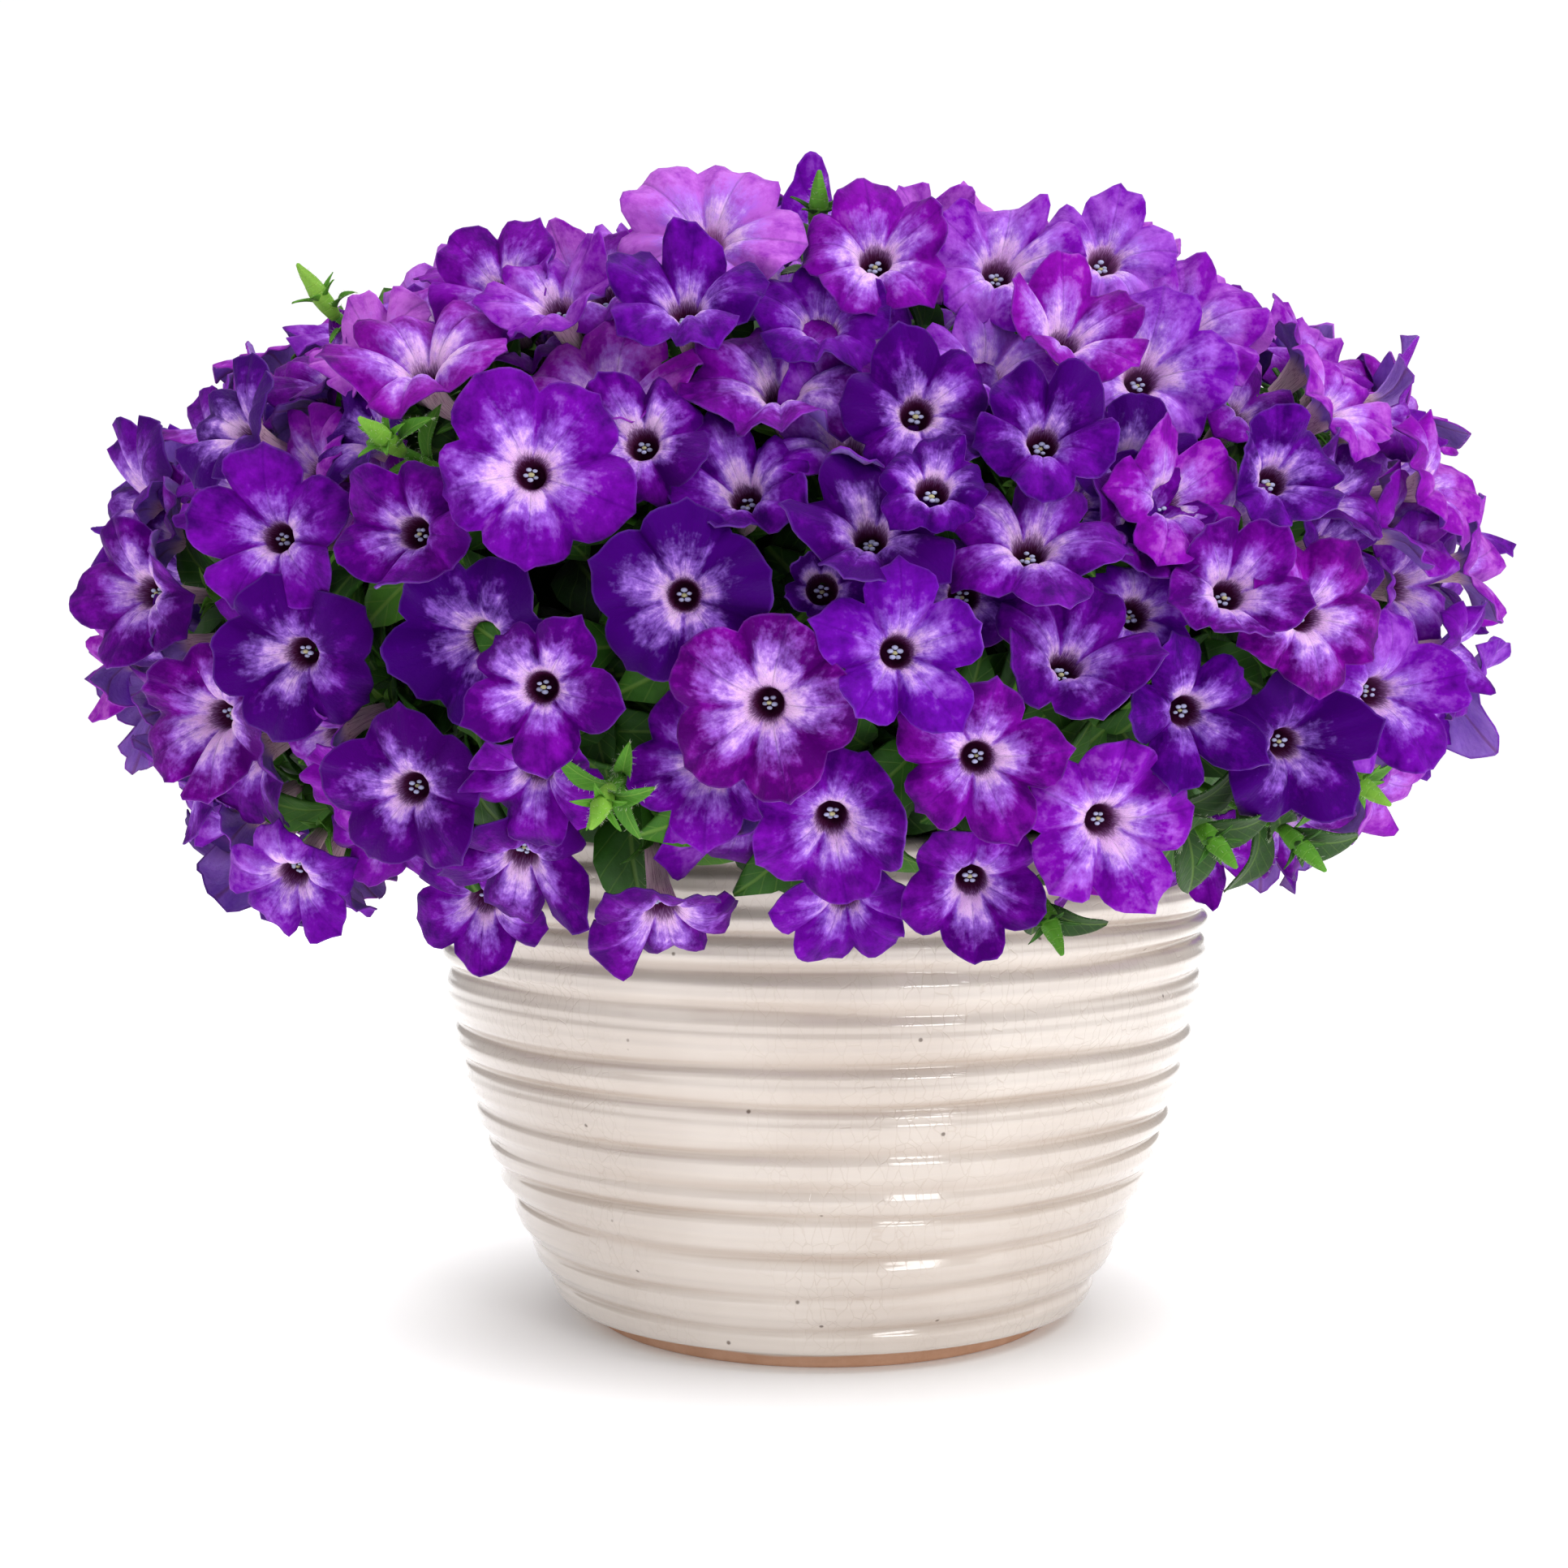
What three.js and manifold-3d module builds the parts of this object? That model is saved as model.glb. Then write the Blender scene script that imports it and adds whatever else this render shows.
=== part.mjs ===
// A mound of violet petunias in a ribbed, glazed ceramic pot that stands on its own foot.
// Millimetres, +Z up, with the origin at the middle of the pot's base. The front, -Y, faces the viewer.
//
// The plant is one crown that stands in the soil. Its core is packed with stems and leaves. Around it are
// sprays of blooms and leafy shoots, and each one starts from a knob seated on the core.

import * as THREE from "three";
import { mergeVertices } from "three/addons/utils/BufferGeometryUtils.js";
import Module from "manifold-3d";

const wasm = await Module();
wasm.setup();

// ---- Driving dimensions -------------------------------------------------------------------------

const GAP = 0.35; // left between neighbouring pieces
const SLIVER = 0.03; // detail finer than this is smoothed away

// The pot: a belly that widens fast from the foot, then stands nearly upright.
const POT = {
  footRadius: 85.5,
  footRise: 5, // bare terracotta below the glaze
  bellyRadius: 140,
  bellyHeight: 165,
  bellyPower: 2.05,
  baseOfWall: 92,
  height: 182,
  wall: 9,
  floor: 14,
  floorCorner: 4, // slope between the inner wall and the floor
  relief: 1.6, // depth of a groove between two ribs
  edge: 1.5, // rounding of the foot
  glazeEdge: 5, // how far the glaze's lower edge stands out from the foot
  lip: { out: 2, down: 1, in: 3, dip: 2.5 }, // bevels of the rim
  free: 1, // kept clear of leaves outside the pot
  sides: 24,
};
const INSIDE_HEIGHTS = [166, 115, 50]; // where the plain inner wall bends, from the soil's top down
const GROOVE_HEIGHTS = [16, 30, 44, 57, 69, 80, 95, 109.5, 128.5, 139.5, 151, 161, 172.5];

// The soil, and the main stem that stands in it.
const SOIL = { top: INSIDE_HEIGHTS[0], dome: 4, domeAt: 0.45, holeBottom: 96, slack: 1.4 };
const STEM = { radius: 7, foot: 100, head: 205, sides: 8 };

// The mound of blooms, and the packed core inside it: two ellipsoids round one centre.
const MOUND = { x: -10, y: 0, z: 255, radius: 251, rise: 163 };
const CORE = { radius: 166, rise: 93, bottom: 189, sides: 18, rings: 6 };

// A bloom: a five-lobed limb that flares from a tube.
const BLOOM = {
  lobes: 5,
  notch: 0.86, // of the limb's radius
  throatDepth: 7.5,
  backDepth: 9,
  tube: 4.2,
  wave: 1.5,
  root: 3, // how far past its knob's middle a tapering stalk ends
};

// A piece is cut clear of another by a grown copy of that one. Each part of the copy is grown by so many
// gaps, and thin parts take more of them, because their few sides cut corners.
const GROWN = { rim: 1.6, throat: 2, depth: 0.3, tube: 2.2, root: 40, knob: 1.8, stem: 1.5 };

const LEVEL_STEP = 7; // blooms that would cross lie at different depths, in shingled levels
const LEVELS = 5;
const LEVEL_COST = 3; // how much crossing a bloom bears before it goes one level deeper
const OUTER_INSET = 7;

const MOST_LEAN = 52; // degrees that a bloom's face may lean from the way its stalk comes
const SPRAYS = { count: 46, rounds: 14 };
const KNOB = { radius: 8.5, lift: 0.5, lowest: 200, joint: 8 };
const REACH = 140; // blooms further apart than this can't touch
const FILL = { spacing: 43.5, widest: 58, narrowest: 50, lean: 0.7, lowest: 162, tries: 260, seed: 20717 };

// A leaf: an oval blade, thickest along its midrib. But for the thickness, sizes are shares of its length,
// lifts are shares of its arch, and the far waist's width is a share of the near one's.
const LEAF = {
  thickness: 1.3,
  width: 0.56,
  arch: 0.12,
  archAt: 0.5,
  droop: 0.14,
  near: { at: 0.42, wide: 1, lift: 0.5 },
  far: { at: 0.72, wide: 0.82, lift: 0.4 },
};
const LENGTH_SPREAD = 0.3; // of a leaf's length
const CROWN_LEAVES = { count: 64, length: 54, lift: 60, sunk: 5, above: 8, turn: 0.4, seed: 4471 };

// A leafy shoot: a stem that ends a little short of the mound's surface, with a furled bud at its tip.
const SHOOT = {
  stem: 2.4,
  short: 4,
  sides: 4,
  bud: { length: 19, radius: 3.4, waistAt: 0.6, sunk: 3 },
  leaf: { fan: 62, fanSpread: 20, turn: 2.4, turnSpread: 0.5, step: 4.5, first: 0.4 },
};

const GREEN = { r: 0.13, g: 0.27, b: 0.07 };
const VIOLETS = [
  { r: 0.19, g: 0.07, b: 0.42 },
  { r: 0.27, g: 0.09, b: 0.47 },
  { r: 0.36, g: 0.16, b: 0.55 },
];

// ---- Where the blooms and shoots of the front are --------------------------------------------------

// Places were read by eye in a square picture, taken from this point in front of the pot. Each x and y is
// a place in that picture, and meets the mound where the line of sight does. wide is the limb's real
// width. up and right are how far a bloom's face turns from the viewer, in degrees. A bloom without them
// faces straight out of the mound. Where two blooms cross, the one named first lies in front.
const VIEW = { distance: 840, height: 224, pitch: 2.1, yaw: 0.98, focal: 2798, middle: 966 };

const MIDDLE_BLOOMS = [
  { x: 839, y: 738, wide: 51, up: 0, right: 0 },
  { x: 943, y: 862, wide: 50, up: -8, right: -10 },
  { x: 1109, y: 798, wide: 48, up: 4, right: 10 },
  { x: 1200, y: 930, wide: 46, up: -8, right: 3 },
  { x: 1025, y: 1015, wide: 44, up: -20, right: 0 },
  { x: 857, y: 980, wide: 49, up: -10, right: -14 },
  { x: 1202, y: 1098, wide: 43, up: -20, right: 8 },
  { x: 1361, y: 1008, wide: 50, up: -10, right: 18 },
  { x: 675, y: 843, wide: 44, up: -4, right: -6 },
  { x: 562, y: 798, wide: 50, up: -10, right: -25 },
  { x: 660, y: 583, wide: 52, up: 8, right: 4 },
  { x: 907, y: 590, wide: 46, up: 32, right: -12 },
  { x: 1140, y: 490, wide: 42, up: 14, right: 4 },
  { x: 1287, y: 535, wide: 43, up: 25, right: 8 },
  { x: 1278, y: 676, wide: 51, up: 38, right: 10 },
  { x: 1080, y: 650, wide: 48, up: 32, right: 2 },
  { x: 1050, y: 515, wide: 53, up: 48, right: 4 },
  { x: 957, y: 430, wide: 52, up: 50, right: -4 },
  { x: 731, y: 440, wide: 56, up: 50, right: -15 },
  { x: 1337, y: 812, wide: 49, up: 55, right: 12 },
  { x: 775, y: 520, wide: 38, up: 20, right: -10 },
  { x: 1013, y: 718, wide: 26, up: 12, right: 0 },
  { x: 640, y: 985, wide: 44, up: -38, right: -16 },
  { x: 640, y: 1070, wide: 45, up: -48, right: -12 },
  { x: 1040, y: 1128, wide: 42, up: -40, right: 0 },
  { x: 1142, y: 614, wide: 32, up: 30, right: 6 },
  { x: 1217, y: 733, wide: 32, up: 10, right: 12 },
  { x: 1420, y: 755, wide: 34, up: 14, right: 24 },
];

const LEFT_BLOOMS = [
  { x: 336, y: 658, wide: 51, up: 8, right: -18 },
  { x: 344, y: 802, wide: 48, up: -12, right: -20 },
  { x: 254, y: 884, wide: 49, up: -8, right: -38 },
  { x: 504, y: 972, wide: 45, up: -10, right: -18 },
  { x: 497, y: 655, wide: 42, up: 6, right: -26 },
  { x: 167, y: 729, wide: 46, up: 4, right: -46 },
  { x: 190, y: 805, wide: 42 },
  { x: 112, y: 815, wide: 44 },
  { x: 142, y: 888, wide: 44 },
  { x: 392, y: 915, wide: 40, up: -30, right: -60 },
  { x: 214, y: 966, wide: 44 },
  { x: 292, y: 1022, wide: 43 },
  { x: 362, y: 1082, wide: 44, up: -36, right: -20 },
  { x: 405, y: 1000, wide: 40 },
  { x: 460, y: 1050, wide: 40, up: -42, right: -10 },
  { x: 283, y: 519, wide: 42 },
  { x: 255, y: 590, wide: 43 },
  { x: 178, y: 655, wide: 44 },
  { x: 430, y: 512, wide: 42 },
  { x: 362, y: 560, wide: 41 },
  { x: 432, y: 592, wide: 36, up: 30, right: -70 },
  { x: 375, y: 470, wide: 44 },
  { x: 385, y: 425, wide: 42 },
];

const TOP_BLOOMS = [
  { x: 868, y: 288, wide: 55, up: 30, right: -4 },
  { x: 842, y: 360, wide: 46, up: 48, right: -6 },
  { x: 515, y: 440, wide: 55, up: 52, right: -18 },
  { x: 1080, y: 312, wide: 45, up: 34, right: 4 },
  { x: 1235, y: 320, wide: 48, up: 32, right: 10 },
  { x: 1155, y: 355, wide: 43, up: 76, right: 4 },
  { x: 708, y: 290, wide: 44 },
  { x: 606, y: 336, wide: 42, up: 36, right: -20 },
  { x: 560, y: 312, wide: 40 },
  { x: 678, y: 350, wide: 41 },
  { x: 745, y: 352, wide: 42 },
  { x: 645, y: 395, wide: 42 },
  { x: 530, y: 365, wide: 44 },
  { x: 450, y: 385, wide: 42 },
  { x: 1155, y: 262, wide: 43, up: 10, right: 30 },
  { x: 1262, y: 272, wide: 43 },
  { x: 1365, y: 312, wide: 41, up: 34, right: 16 },
  { x: 1310, y: 300, wide: 40 },
  { x: 1540, y: 352, wide: 45, up: 20, right: 30 },
  { x: 1040, y: 254, wide: 40 },
  { x: 968, y: 300, wide: 42, up: 40, right: -60 },
  { x: 958, y: 362, wide: 41 },
  { x: 1015, y: 350, wide: 40 },
  { x: 1075, y: 392, wide: 43 },
  { x: 1230, y: 420, wide: 41 },
  { x: 1325, y: 395, wide: 44 },
  { x: 1275, y: 460, wide: 40 },
];

const RIGHT_BLOOMS = [
  { x: 1408, y: 463, wide: 50, up: 22, right: 12 },
  { x: 1468, y: 385, wide: 51, up: 35, right: 14 },
  { x: 1530, y: 716, wide: 44, up: 18, right: 22 },
  { x: 1617, y: 756, wide: 45, up: 6, right: 28 },
  { x: 1710, y: 855, wide: 51, up: -4, right: 34 },
  { x: 1478, y: 882, wide: 45, up: -4, right: 20 },
  { x: 1597, y: 920, wide: 48, up: -8, right: 26 },
  { x: 1583, y: 580, wide: 42, up: 20, right: 26 },
  { x: 1555, y: 478, wide: 38 },
  { x: 1622, y: 425, wide: 44 },
  { x: 1655, y: 492, wide: 42 },
  { x: 1732, y: 500, wide: 44, up: 10, right: 78 },
  { x: 1770, y: 592, wide: 44 },
  { x: 1745, y: 640, wide: 42 },
  { x: 1665, y: 600, wide: 40 },
  { x: 1655, y: 672, wide: 40 },
  { x: 1828, y: 694, wide: 44 },
  { x: 1745, y: 722, wide: 46, up: 6, right: 40 },
  { x: 1805, y: 810, wide: 44 },
  { x: 1785, y: 895, wide: 44 },
  { x: 1722, y: 980, wide: 44 },
  { x: 1422, y: 640, wide: 41, up: 24, right: 30 },
  { x: 1480, y: 598, wide: 40 },
  { x: 1545, y: 640, wide: 38 },
  { x: 1425, y: 545, wide: 42 },
  { x: 1352, y: 596, wide: 40 },
];

const FRONT_BLOOMS = [...MIDDLE_BLOOMS, ...LEFT_BLOOMS, ...TOP_BLOOMS, ...RIGHT_BLOOMS];

// Leafy shoots: where each one's tip shows, how many leaves it has and how long they are.
const FRONT_SHOOTS = [
  { x: 480, y: 545, leaves: 5, long: 24 },
  { x: 400, y: 372, leaves: 4, long: 18 },
  { x: 745, y: 985, leaves: 5, long: 26 },
  { x: 1668, y: 962, leaves: 5, long: 30 },
  { x: 1490, y: 1030, leaves: 5, long: 30 },
  { x: 1595, y: 1035, leaves: 5, long: 30 },
  { x: 1290, y: 1128, leaves: 5, long: 28 },
  { x: 1008, y: 268, leaves: 5, long: 26 },
];
const BACK_SHOOTS = [
  { turn: 40, rise: -0.42, leaves: 5, long: 30 },
  { turn: 92, rise: 0.2, leaves: 5, long: 28 },
  { turn: 150, rise: -0.35, leaves: 5, long: 30 },
];

// ---- Small helpers ---------------------------------------------------------------------------------

const radians = THREE.MathUtils.degToRad;
const vector = (x, y, z) => new THREE.Vector3(x, y, z);
const MOUND_CENTRE = vector(MOUND.x, MOUND.y, MOUND.z);

// Random numbers from 0 to 1, the same on each run.
function seededRandom(seed) {
  let state = seed >>> 0;
  return () => {
    state = (state + 0x6d2b79f5) >>> 0;
    let mixed = Math.imul(state ^ (state >>> 15), state | 1);
    mixed ^= mixed + Math.imul(mixed ^ (mixed >>> 7), mixed | 61);
    return ((mixed ^ (mixed >>> 14)) >>> 0) / 4294967296;
  };
}

// A closed geometry as a solid, its faces turned outwards whichever way they ran.
function solidOf(geometry) {
  const bare = geometry.clone();
  bare.deleteAttribute("normal");
  bare.deleteAttribute("uv");
  const merged = mergeVertices(bare, 1e-4);
  const vertProperties = Float32Array.from(merged.attributes.position.array);
  const triVerts = Uint32Array.from(merged.index.array);
  const solid = new wasm.Manifold(new wasm.Mesh({ numProp: 3, vertProperties, triVerts }));
  if (solid.volume() > 0) {
    return solid;
  }
  return new wasm.Manifold(new wasm.Mesh({ numProp: 3, vertProperties, triVerts: triVerts.reverse() }));
}

function geometryOf(solid) {
  const mesh = solid.getMesh();
  const geometry = new THREE.BufferGeometry();
  geometry.setAttribute("position", new THREE.BufferAttribute(mesh.vertProperties, 3));
  geometry.setIndex(new THREE.BufferAttribute(mesh.triVerts, 1));
  geometry.computeVertexNormals();
  return geometry;
}

// The largest body of a solid, without slivers, so that no scrap of a cut floats beside it.
function largestBody(solid) {
  const bodies = solid.simplify(SLIVER).decompose();
  return bodies.reduce((best, body) => (body.volume() > best.volume() ? body : best));
}

// Joins closed rings of points, one after another, into a closed skin. A ring of one point is a tip, and
// a last ring of more points is closed by a fan. Rings of unlike counts are zipped in even steps.
function loftedSolid(rings) {
  const points = rings.flat();
  const faces = [];
  let start = 0;
  for (let k = 0; k + 1 < rings.length; k += 1) {
    const [near, far] = [rings[k].length, rings[k + 1].length];
    let [i, j] = [0, 0];
    const nearSteps = near > 1 ? near : 0;
    const farSteps = far > 1 ? far : 0;
    while (i < nearSteps || j < farSteps) {
      const stepNear = j >= farSteps || (i < nearSteps && (i + 1) * farSteps <= (j + 1) * nearSteps);
      const a = start + (i % near);
      const b = start + near + (j % far);
      if (stepNear) {
        faces.push(a, start + ((i + 1) % near), b);
        i += 1;
      } else {
        faces.push(a, start + near + ((j + 1) % far), b);
        j += 1;
      }
    }
    start += near;
  }
  for (let k = 1; k + 1 < rings.at(-1).length; k += 1) {
    faces.push(start, start + k, start + k + 1);
  }
  const geometry = new THREE.BufferGeometry().setFromPoints(points);
  geometry.setIndex(faces);
  return solidOf(geometry);
}

// A direction square to an axis.
function acrossOf(axis) {
  const level = Math.abs(axis.z) < 0.95 ? vector(0, 0, 1) : vector(0, 1, 0);
  return level.cross(axis).normalize();
}

// Points round an axis, each at its own radius and lift along the axis.
function ringRound(centre, axis, radii, turn = 0, lifts = []) {
  const across = acrossOf(axis);
  const along = vector().crossVectors(axis, across);
  return radii.map((radius, k) => {
    const angle = turn + (k * 2 * Math.PI) / radii.length;
    return centre
      .clone()
      .addScaledVector(across, radius * Math.cos(angle))
      .addScaledVector(along, radius * Math.sin(angle))
      .addScaledVector(axis, lifts[k] ?? 0);
  });
}

const evenRing = (centre, axis, radius, count, turn = 0) =>
  ringRound(centre, axis, Array(count).fill(radius), turn);

// ---- The mound's surface ---------------------------------------------------------------------------

function moundSize(inset) {
  return vector(MOUND.radius - inset, MOUND.radius - inset, MOUND.rise - inset);
}

// The point of the mound, inset by so much, that a direction on the unit sphere stands for.
function pointOnMound(direction, inset) {
  return direction.clone().multiply(moundSize(inset)).add(MOUND_CENTRE);
}

function outwardAt(point) {
  const size = moundSize(0);
  return point.clone().sub(MOUND_CENTRE).divide(size).divide(size).normalize();
}

function sightLine(x, y) {
  const [pitch, yaw] = [radians(VIEW.pitch), radians(VIEW.yaw)];
  const ahead = vector(-Math.sin(yaw) * Math.cos(pitch), Math.cos(yaw) * Math.cos(pitch), -Math.sin(pitch));
  const right = vector(Math.cos(yaw), Math.sin(yaw), 0);
  const up = vector().crossVectors(right, ahead);
  return ahead
    .addScaledVector(right, (x - VIEW.middle) / VIEW.focal)
    .addScaledVector(up, (VIEW.middle - y) / VIEW.focal)
    .normalize();
}

// The direction, on the unit sphere, of the point where a line of sight meets the mound, or passes it
// most closely.
function moundDirectionSeen(x, y, inset) {
  const size = moundSize(inset);
  const eye = vector(0, -VIEW.distance, VIEW.height).sub(MOUND_CENTRE).divide(size);
  const ray = sightLine(x, y).divide(size);
  const nearest = -eye.dot(ray) / ray.lengthSq();
  const missed = eye.clone().addScaledVector(ray, nearest).lengthSq();
  const back = Math.sqrt(Math.max(0, (1 - missed) / ray.lengthSq()));
  return eye.addScaledVector(ray, nearest - back).normalize();
}

// The way a bloom faces: turned from the viewer by the angles given, or straight out of the mound.
function facingOf(point, up, right) {
  if (up === undefined) {
    return outwardAt(point);
  }
  const toViewer = vector(0, -VIEW.distance, VIEW.height).sub(point);
  const azimuth = Math.atan2(toViewer.y, toViewer.x) + radians(right);
  const elevation = Math.atan2(toViewer.z, Math.hypot(toViewer.x, toViewer.y)) + radians(up);
  return vector(
    Math.cos(elevation) * Math.cos(azimuth),
    Math.cos(elevation) * Math.sin(azimuth),
    Math.sin(elevation),
  );
}

// ---- Placing blooms and shoots ---------------------------------------------------------------------

function placeShoots() {
  const front = FRONT_SHOOTS.map((shoot) => ({
    ...shoot,
    point: pointOnMound(moundDirectionSeen(shoot.x, shoot.y, OUTER_INSET), OUTER_INSET),
  }));
  const back = BACK_SHOOTS.map((shoot) => {
    const level = Math.sqrt(1 - shoot.rise ** 2);
    const turn = radians(shoot.turn);
    const direction = vector(level * Math.cos(turn), level * Math.sin(turn), shoot.rise);
    return { ...shoot, point: pointOnMound(direction, OUTER_INSET) };
  });
  return [...front, ...back];
}

// Fills what the front's places leave bare. Each new bloom is the one of many tries that is furthest from
// all the others.
function fillBlooms(placed, shoots) {
  const random = seededRandom(FILL.seed);
  const taken = [...placed, ...shoots].map((piece) => piece.point);
  const added = [];
  for (;;) {
    let best = { room: 0 };
    for (let k = 0; k < FILL.tries; k += 1) {
      const rise = 2 * random() - 1;
      const turn = 2 * Math.PI * random();
      const level = Math.sqrt(1 - rise * rise);
      const direction = vector(level * Math.cos(turn), level * Math.sin(turn), rise);
      const point = pointOnMound(direction, OUTER_INSET);
      const room = point.z < FILL.lowest ? 0 : Math.min(...taken.map((other) => other.distanceTo(point)));
      if (room > best.room) {
        best = { room, direction, point };
      }
    }
    if (best.room < FILL.spacing) {
      return added;
    }
    const wide = FILL.narrowest + (FILL.widest - FILL.narrowest) * random();
    const lean = vector(random() - 0.5, random() - 0.5, random() - 0.5).multiplyScalar(FILL.lean);
    added.push({ ...best, wide, lean });
    taken.push(best.point);
  }
}

// How far two limbs, taken as flat discs, cross each other: the length of the line that both share.
function crossing(one, other) {
  const line = vector().crossVectors(one.axis, other.axis).normalize();
  const apart = other.centre.clone().sub(one.centre);
  if (line.lengthSq() < 0.5 || apart.length() > (one.wide + other.wide) / 2) {
    return 0;
  }
  const inOne = vector().crossVectors(line, one.axis);
  const reach = other.axis.dot(apart) / other.axis.dot(inOne);
  const rest = apart.addScaledVector(inOne, -reach);
  const shift = rest.dot(line);
  const halfOne = Math.sqrt(Math.max(0, (one.wide / 2) ** 2 - reach ** 2));
  const halfOther = Math.sqrt(Math.max(0, (other.wide / 2) ** 2 - rest.lengthSq() + shift ** 2));
  const shared = Math.min(halfOne, shift + halfOther) - Math.max(-halfOne, shift - halfOther);
  return halfOne > 0 && halfOther > 0 ? Math.max(0, shared) : 0;
}

// An axis, turned back towards a guide where it leans further from it than the limit.
function heldNear(axis, guide, limit) {
  const angle = axis.angleTo(guide);
  if (angle <= radians(limit)) {
    return axis;
  }
  const turn = vector().crossVectors(guide, axis).normalize();
  return guide.clone().applyAxisAngle(turn, radians(limit));
}

function settle(bloom, level) {
  const inset = OUTER_INSET + level * LEVEL_STEP;
  const direction = bloom.direction ?? moundDirectionSeen(bloom.x, bloom.y, inset);
  const centre = pointOnMound(direction, inset);
  const outward = outwardAt(centre);
  const own = bloom.lean
    ? outward.clone().add(bloom.lean).normalize()
    : facingOf(centre, bloom.up, bloom.right);
  return { ...bloom, level, centre, axis: heldNear(own, outward, MOST_LEAN) };
}

// Each bloom in turn takes the level where it crosses those before it least, and an outer one if it can.
function placeBlooms(shoots) {
  const front = FRONT_BLOOMS.map((bloom) => ({
    ...bloom,
    point: pointOnMound(moundDirectionSeen(bloom.x, bloom.y, OUTER_INSET), OUTER_INSET),
  }));
  const placed = [];
  for (const bloom of [...front, ...fillBlooms(front, shoots)]) {
    const choices = Array.from({ length: LEVELS }, (_, level) => settle(bloom, level));
    const costs = choices.map((choice) =>
      placed.reduce((sum, other) => sum + crossing(choice, other), choice.level * LEVEL_COST),
    );
    placed.push(choices[costs.indexOf(Math.min(...costs))]);
  }
  const random = seededRandom(FILL.seed + 1);
  for (const bloom of placed) {
    bloom.spin = 2 * Math.PI * random();
    bloom.waves = Array.from({ length: 2 * BLOOM.lobes }, () => (2 * random() - 1) * BLOOM.wave);
  }
  return placed;
}

// The place on the core's surface for the knob of what grows at a point of the mound.
function seatOnCore(point) {
  const size = vector(CORE.radius, CORE.radius, CORE.rise).addScalar(KNOB.lift);
  const seat = point.clone().sub(MOUND_CENTRE).divide(moundSize(0)).normalize();
  const rise = Math.max(seat.z, (KNOB.lowest - MOUND.z) / size.z);
  const level = Math.sqrt((1 - rise ** 2) / (seat.x ** 2 + seat.y ** 2));
  return vector(seat.x * level, seat.y * level, rise).multiply(size).add(MOUND_CENTRE);
}

function nearestIndex(places, point) {
  const distances = places.map((place) => place.distanceTo(point));
  return distances.indexOf(Math.min(...distances));
}

// Gathers the blooms into sprays of near neighbours. The middles start on blooms spread evenly through
// their order, and each one then moves to the mean of the blooms nearest to it, a few times over. Returns
// the sprays' knobs.
function gatherSprays(blooms) {
  let middles = Array.from({ length: SPRAYS.count }, (_, k) => {
    return blooms[Math.floor(((k + 0.5) * blooms.length) / SPRAYS.count)].point.clone();
  });
  for (let round = 0; round < SPRAYS.rounds; round += 1) {
    blooms.forEach((bloom) => {
      bloom.spray = nearestIndex(middles, bloom.point);
    });
    middles = middles.map((middle, k) => {
      const own = blooms.filter((bloom) => bloom.spray === k);
      const sum = own.reduce((total, bloom) => total.add(bloom.point), vector(0, 0, 0));
      return own.length > 0 ? sum.divideScalar(own.length) : middle;
    });
  }
  return middles.map(seatOnCore);
}

// ---- Pieces ----------------------------------------------------------------------------------------

function potRadius(z) {
  const left = 1 - Math.min(z / POT.bellyHeight, 1);
  return POT.baseOfWall + (POT.bellyRadius - POT.baseOfWall) * (1 - left ** POT.bellyPower);
}

// A closed profile turned round Z.
function turned(profile, sides) {
  const points = profile.map(([r, z]) => new THREE.Vector2(r, z));
  return new THREE.LatheGeometry(points, sides).rotateX(Math.PI / 2);
}

function potGeometry() {
  const profile = [
    [0, 0],
    [POT.footRadius - POT.edge, 0],
    [POT.footRadius, POT.edge],
    [POT.footRadius + POT.edge, POT.footRise],
    [POT.footRadius + POT.glazeEdge, POT.footRise + POT.edge],
  ];
  GROOVE_HEIGHTS.forEach((groove, k) => {
    const next = GROOVE_HEIGHTS[k + 1] ?? POT.height - POT.lip.out;
    const crest = (groove + next) / 2;
    profile.push([potRadius(groove) - POT.relief, groove], [potRadius(crest), crest]);
  });
  const inner = potRadius(POT.height) - POT.wall;
  profile.push(
    [POT.bellyRadius - POT.lip.out, POT.height - POT.lip.down],
    [inner + POT.lip.in, POT.height],
    [inner, POT.height - POT.lip.dip],
  );
  for (const z of INSIDE_HEIGHTS) {
    profile.push([potRadius(z) - POT.wall, z]);
  }
  profile.push([potRadius(POT.floor) - POT.wall - POT.floorCorner, POT.floor], [0, POT.floor]);
  return geometryOf(solidOf(turned(profile, POT.sides)));
}

function soilGeometry() {
  const inset = POT.wall + SOIL.slack * GAP;
  const hole = STEM.radius + SOIL.slack * GAP;
  const bottom = POT.floor + GAP;
  const top = SOIL.top + SOIL.dome;
  const profile = [
    [0, bottom],
    [potRadius(POT.floor) - inset - POT.floorCorner - GAP, bottom],
    ...INSIDE_HEIGHTS.toReversed().map((z) => [potRadius(z) - inset, z]),
    [potRadius(SOIL.top) * SOIL.domeAt, top],
    [hole, top],
    [hole, SOIL.holeBottom],
    [0, SOIL.holeBottom],
  ];
  return geometryOf(solidOf(turned(profile, POT.sides)));
}

function coreSolid(grow) {
  const rise = CORE.rise + grow;
  const radius = CORE.radius + grow;
  const bottom = CORE.bottom - grow;
  const lowest = Math.asin((bottom - MOUND.z) / rise);
  const profile = [[0, bottom]];
  for (let k = 0; k <= CORE.rings; k += 1) {
    const angle = lowest + (k / CORE.rings) * (Math.PI / 2 - lowest);
    const r = k === CORE.rings ? 0 : radius * Math.cos(angle);
    profile.push([r, MOUND.z + rise * Math.sin(angle)]);
  }
  return solidOf(turned(profile, CORE.sides)).translate([MOUND.x, MOUND.y, 0]);
}

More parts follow.
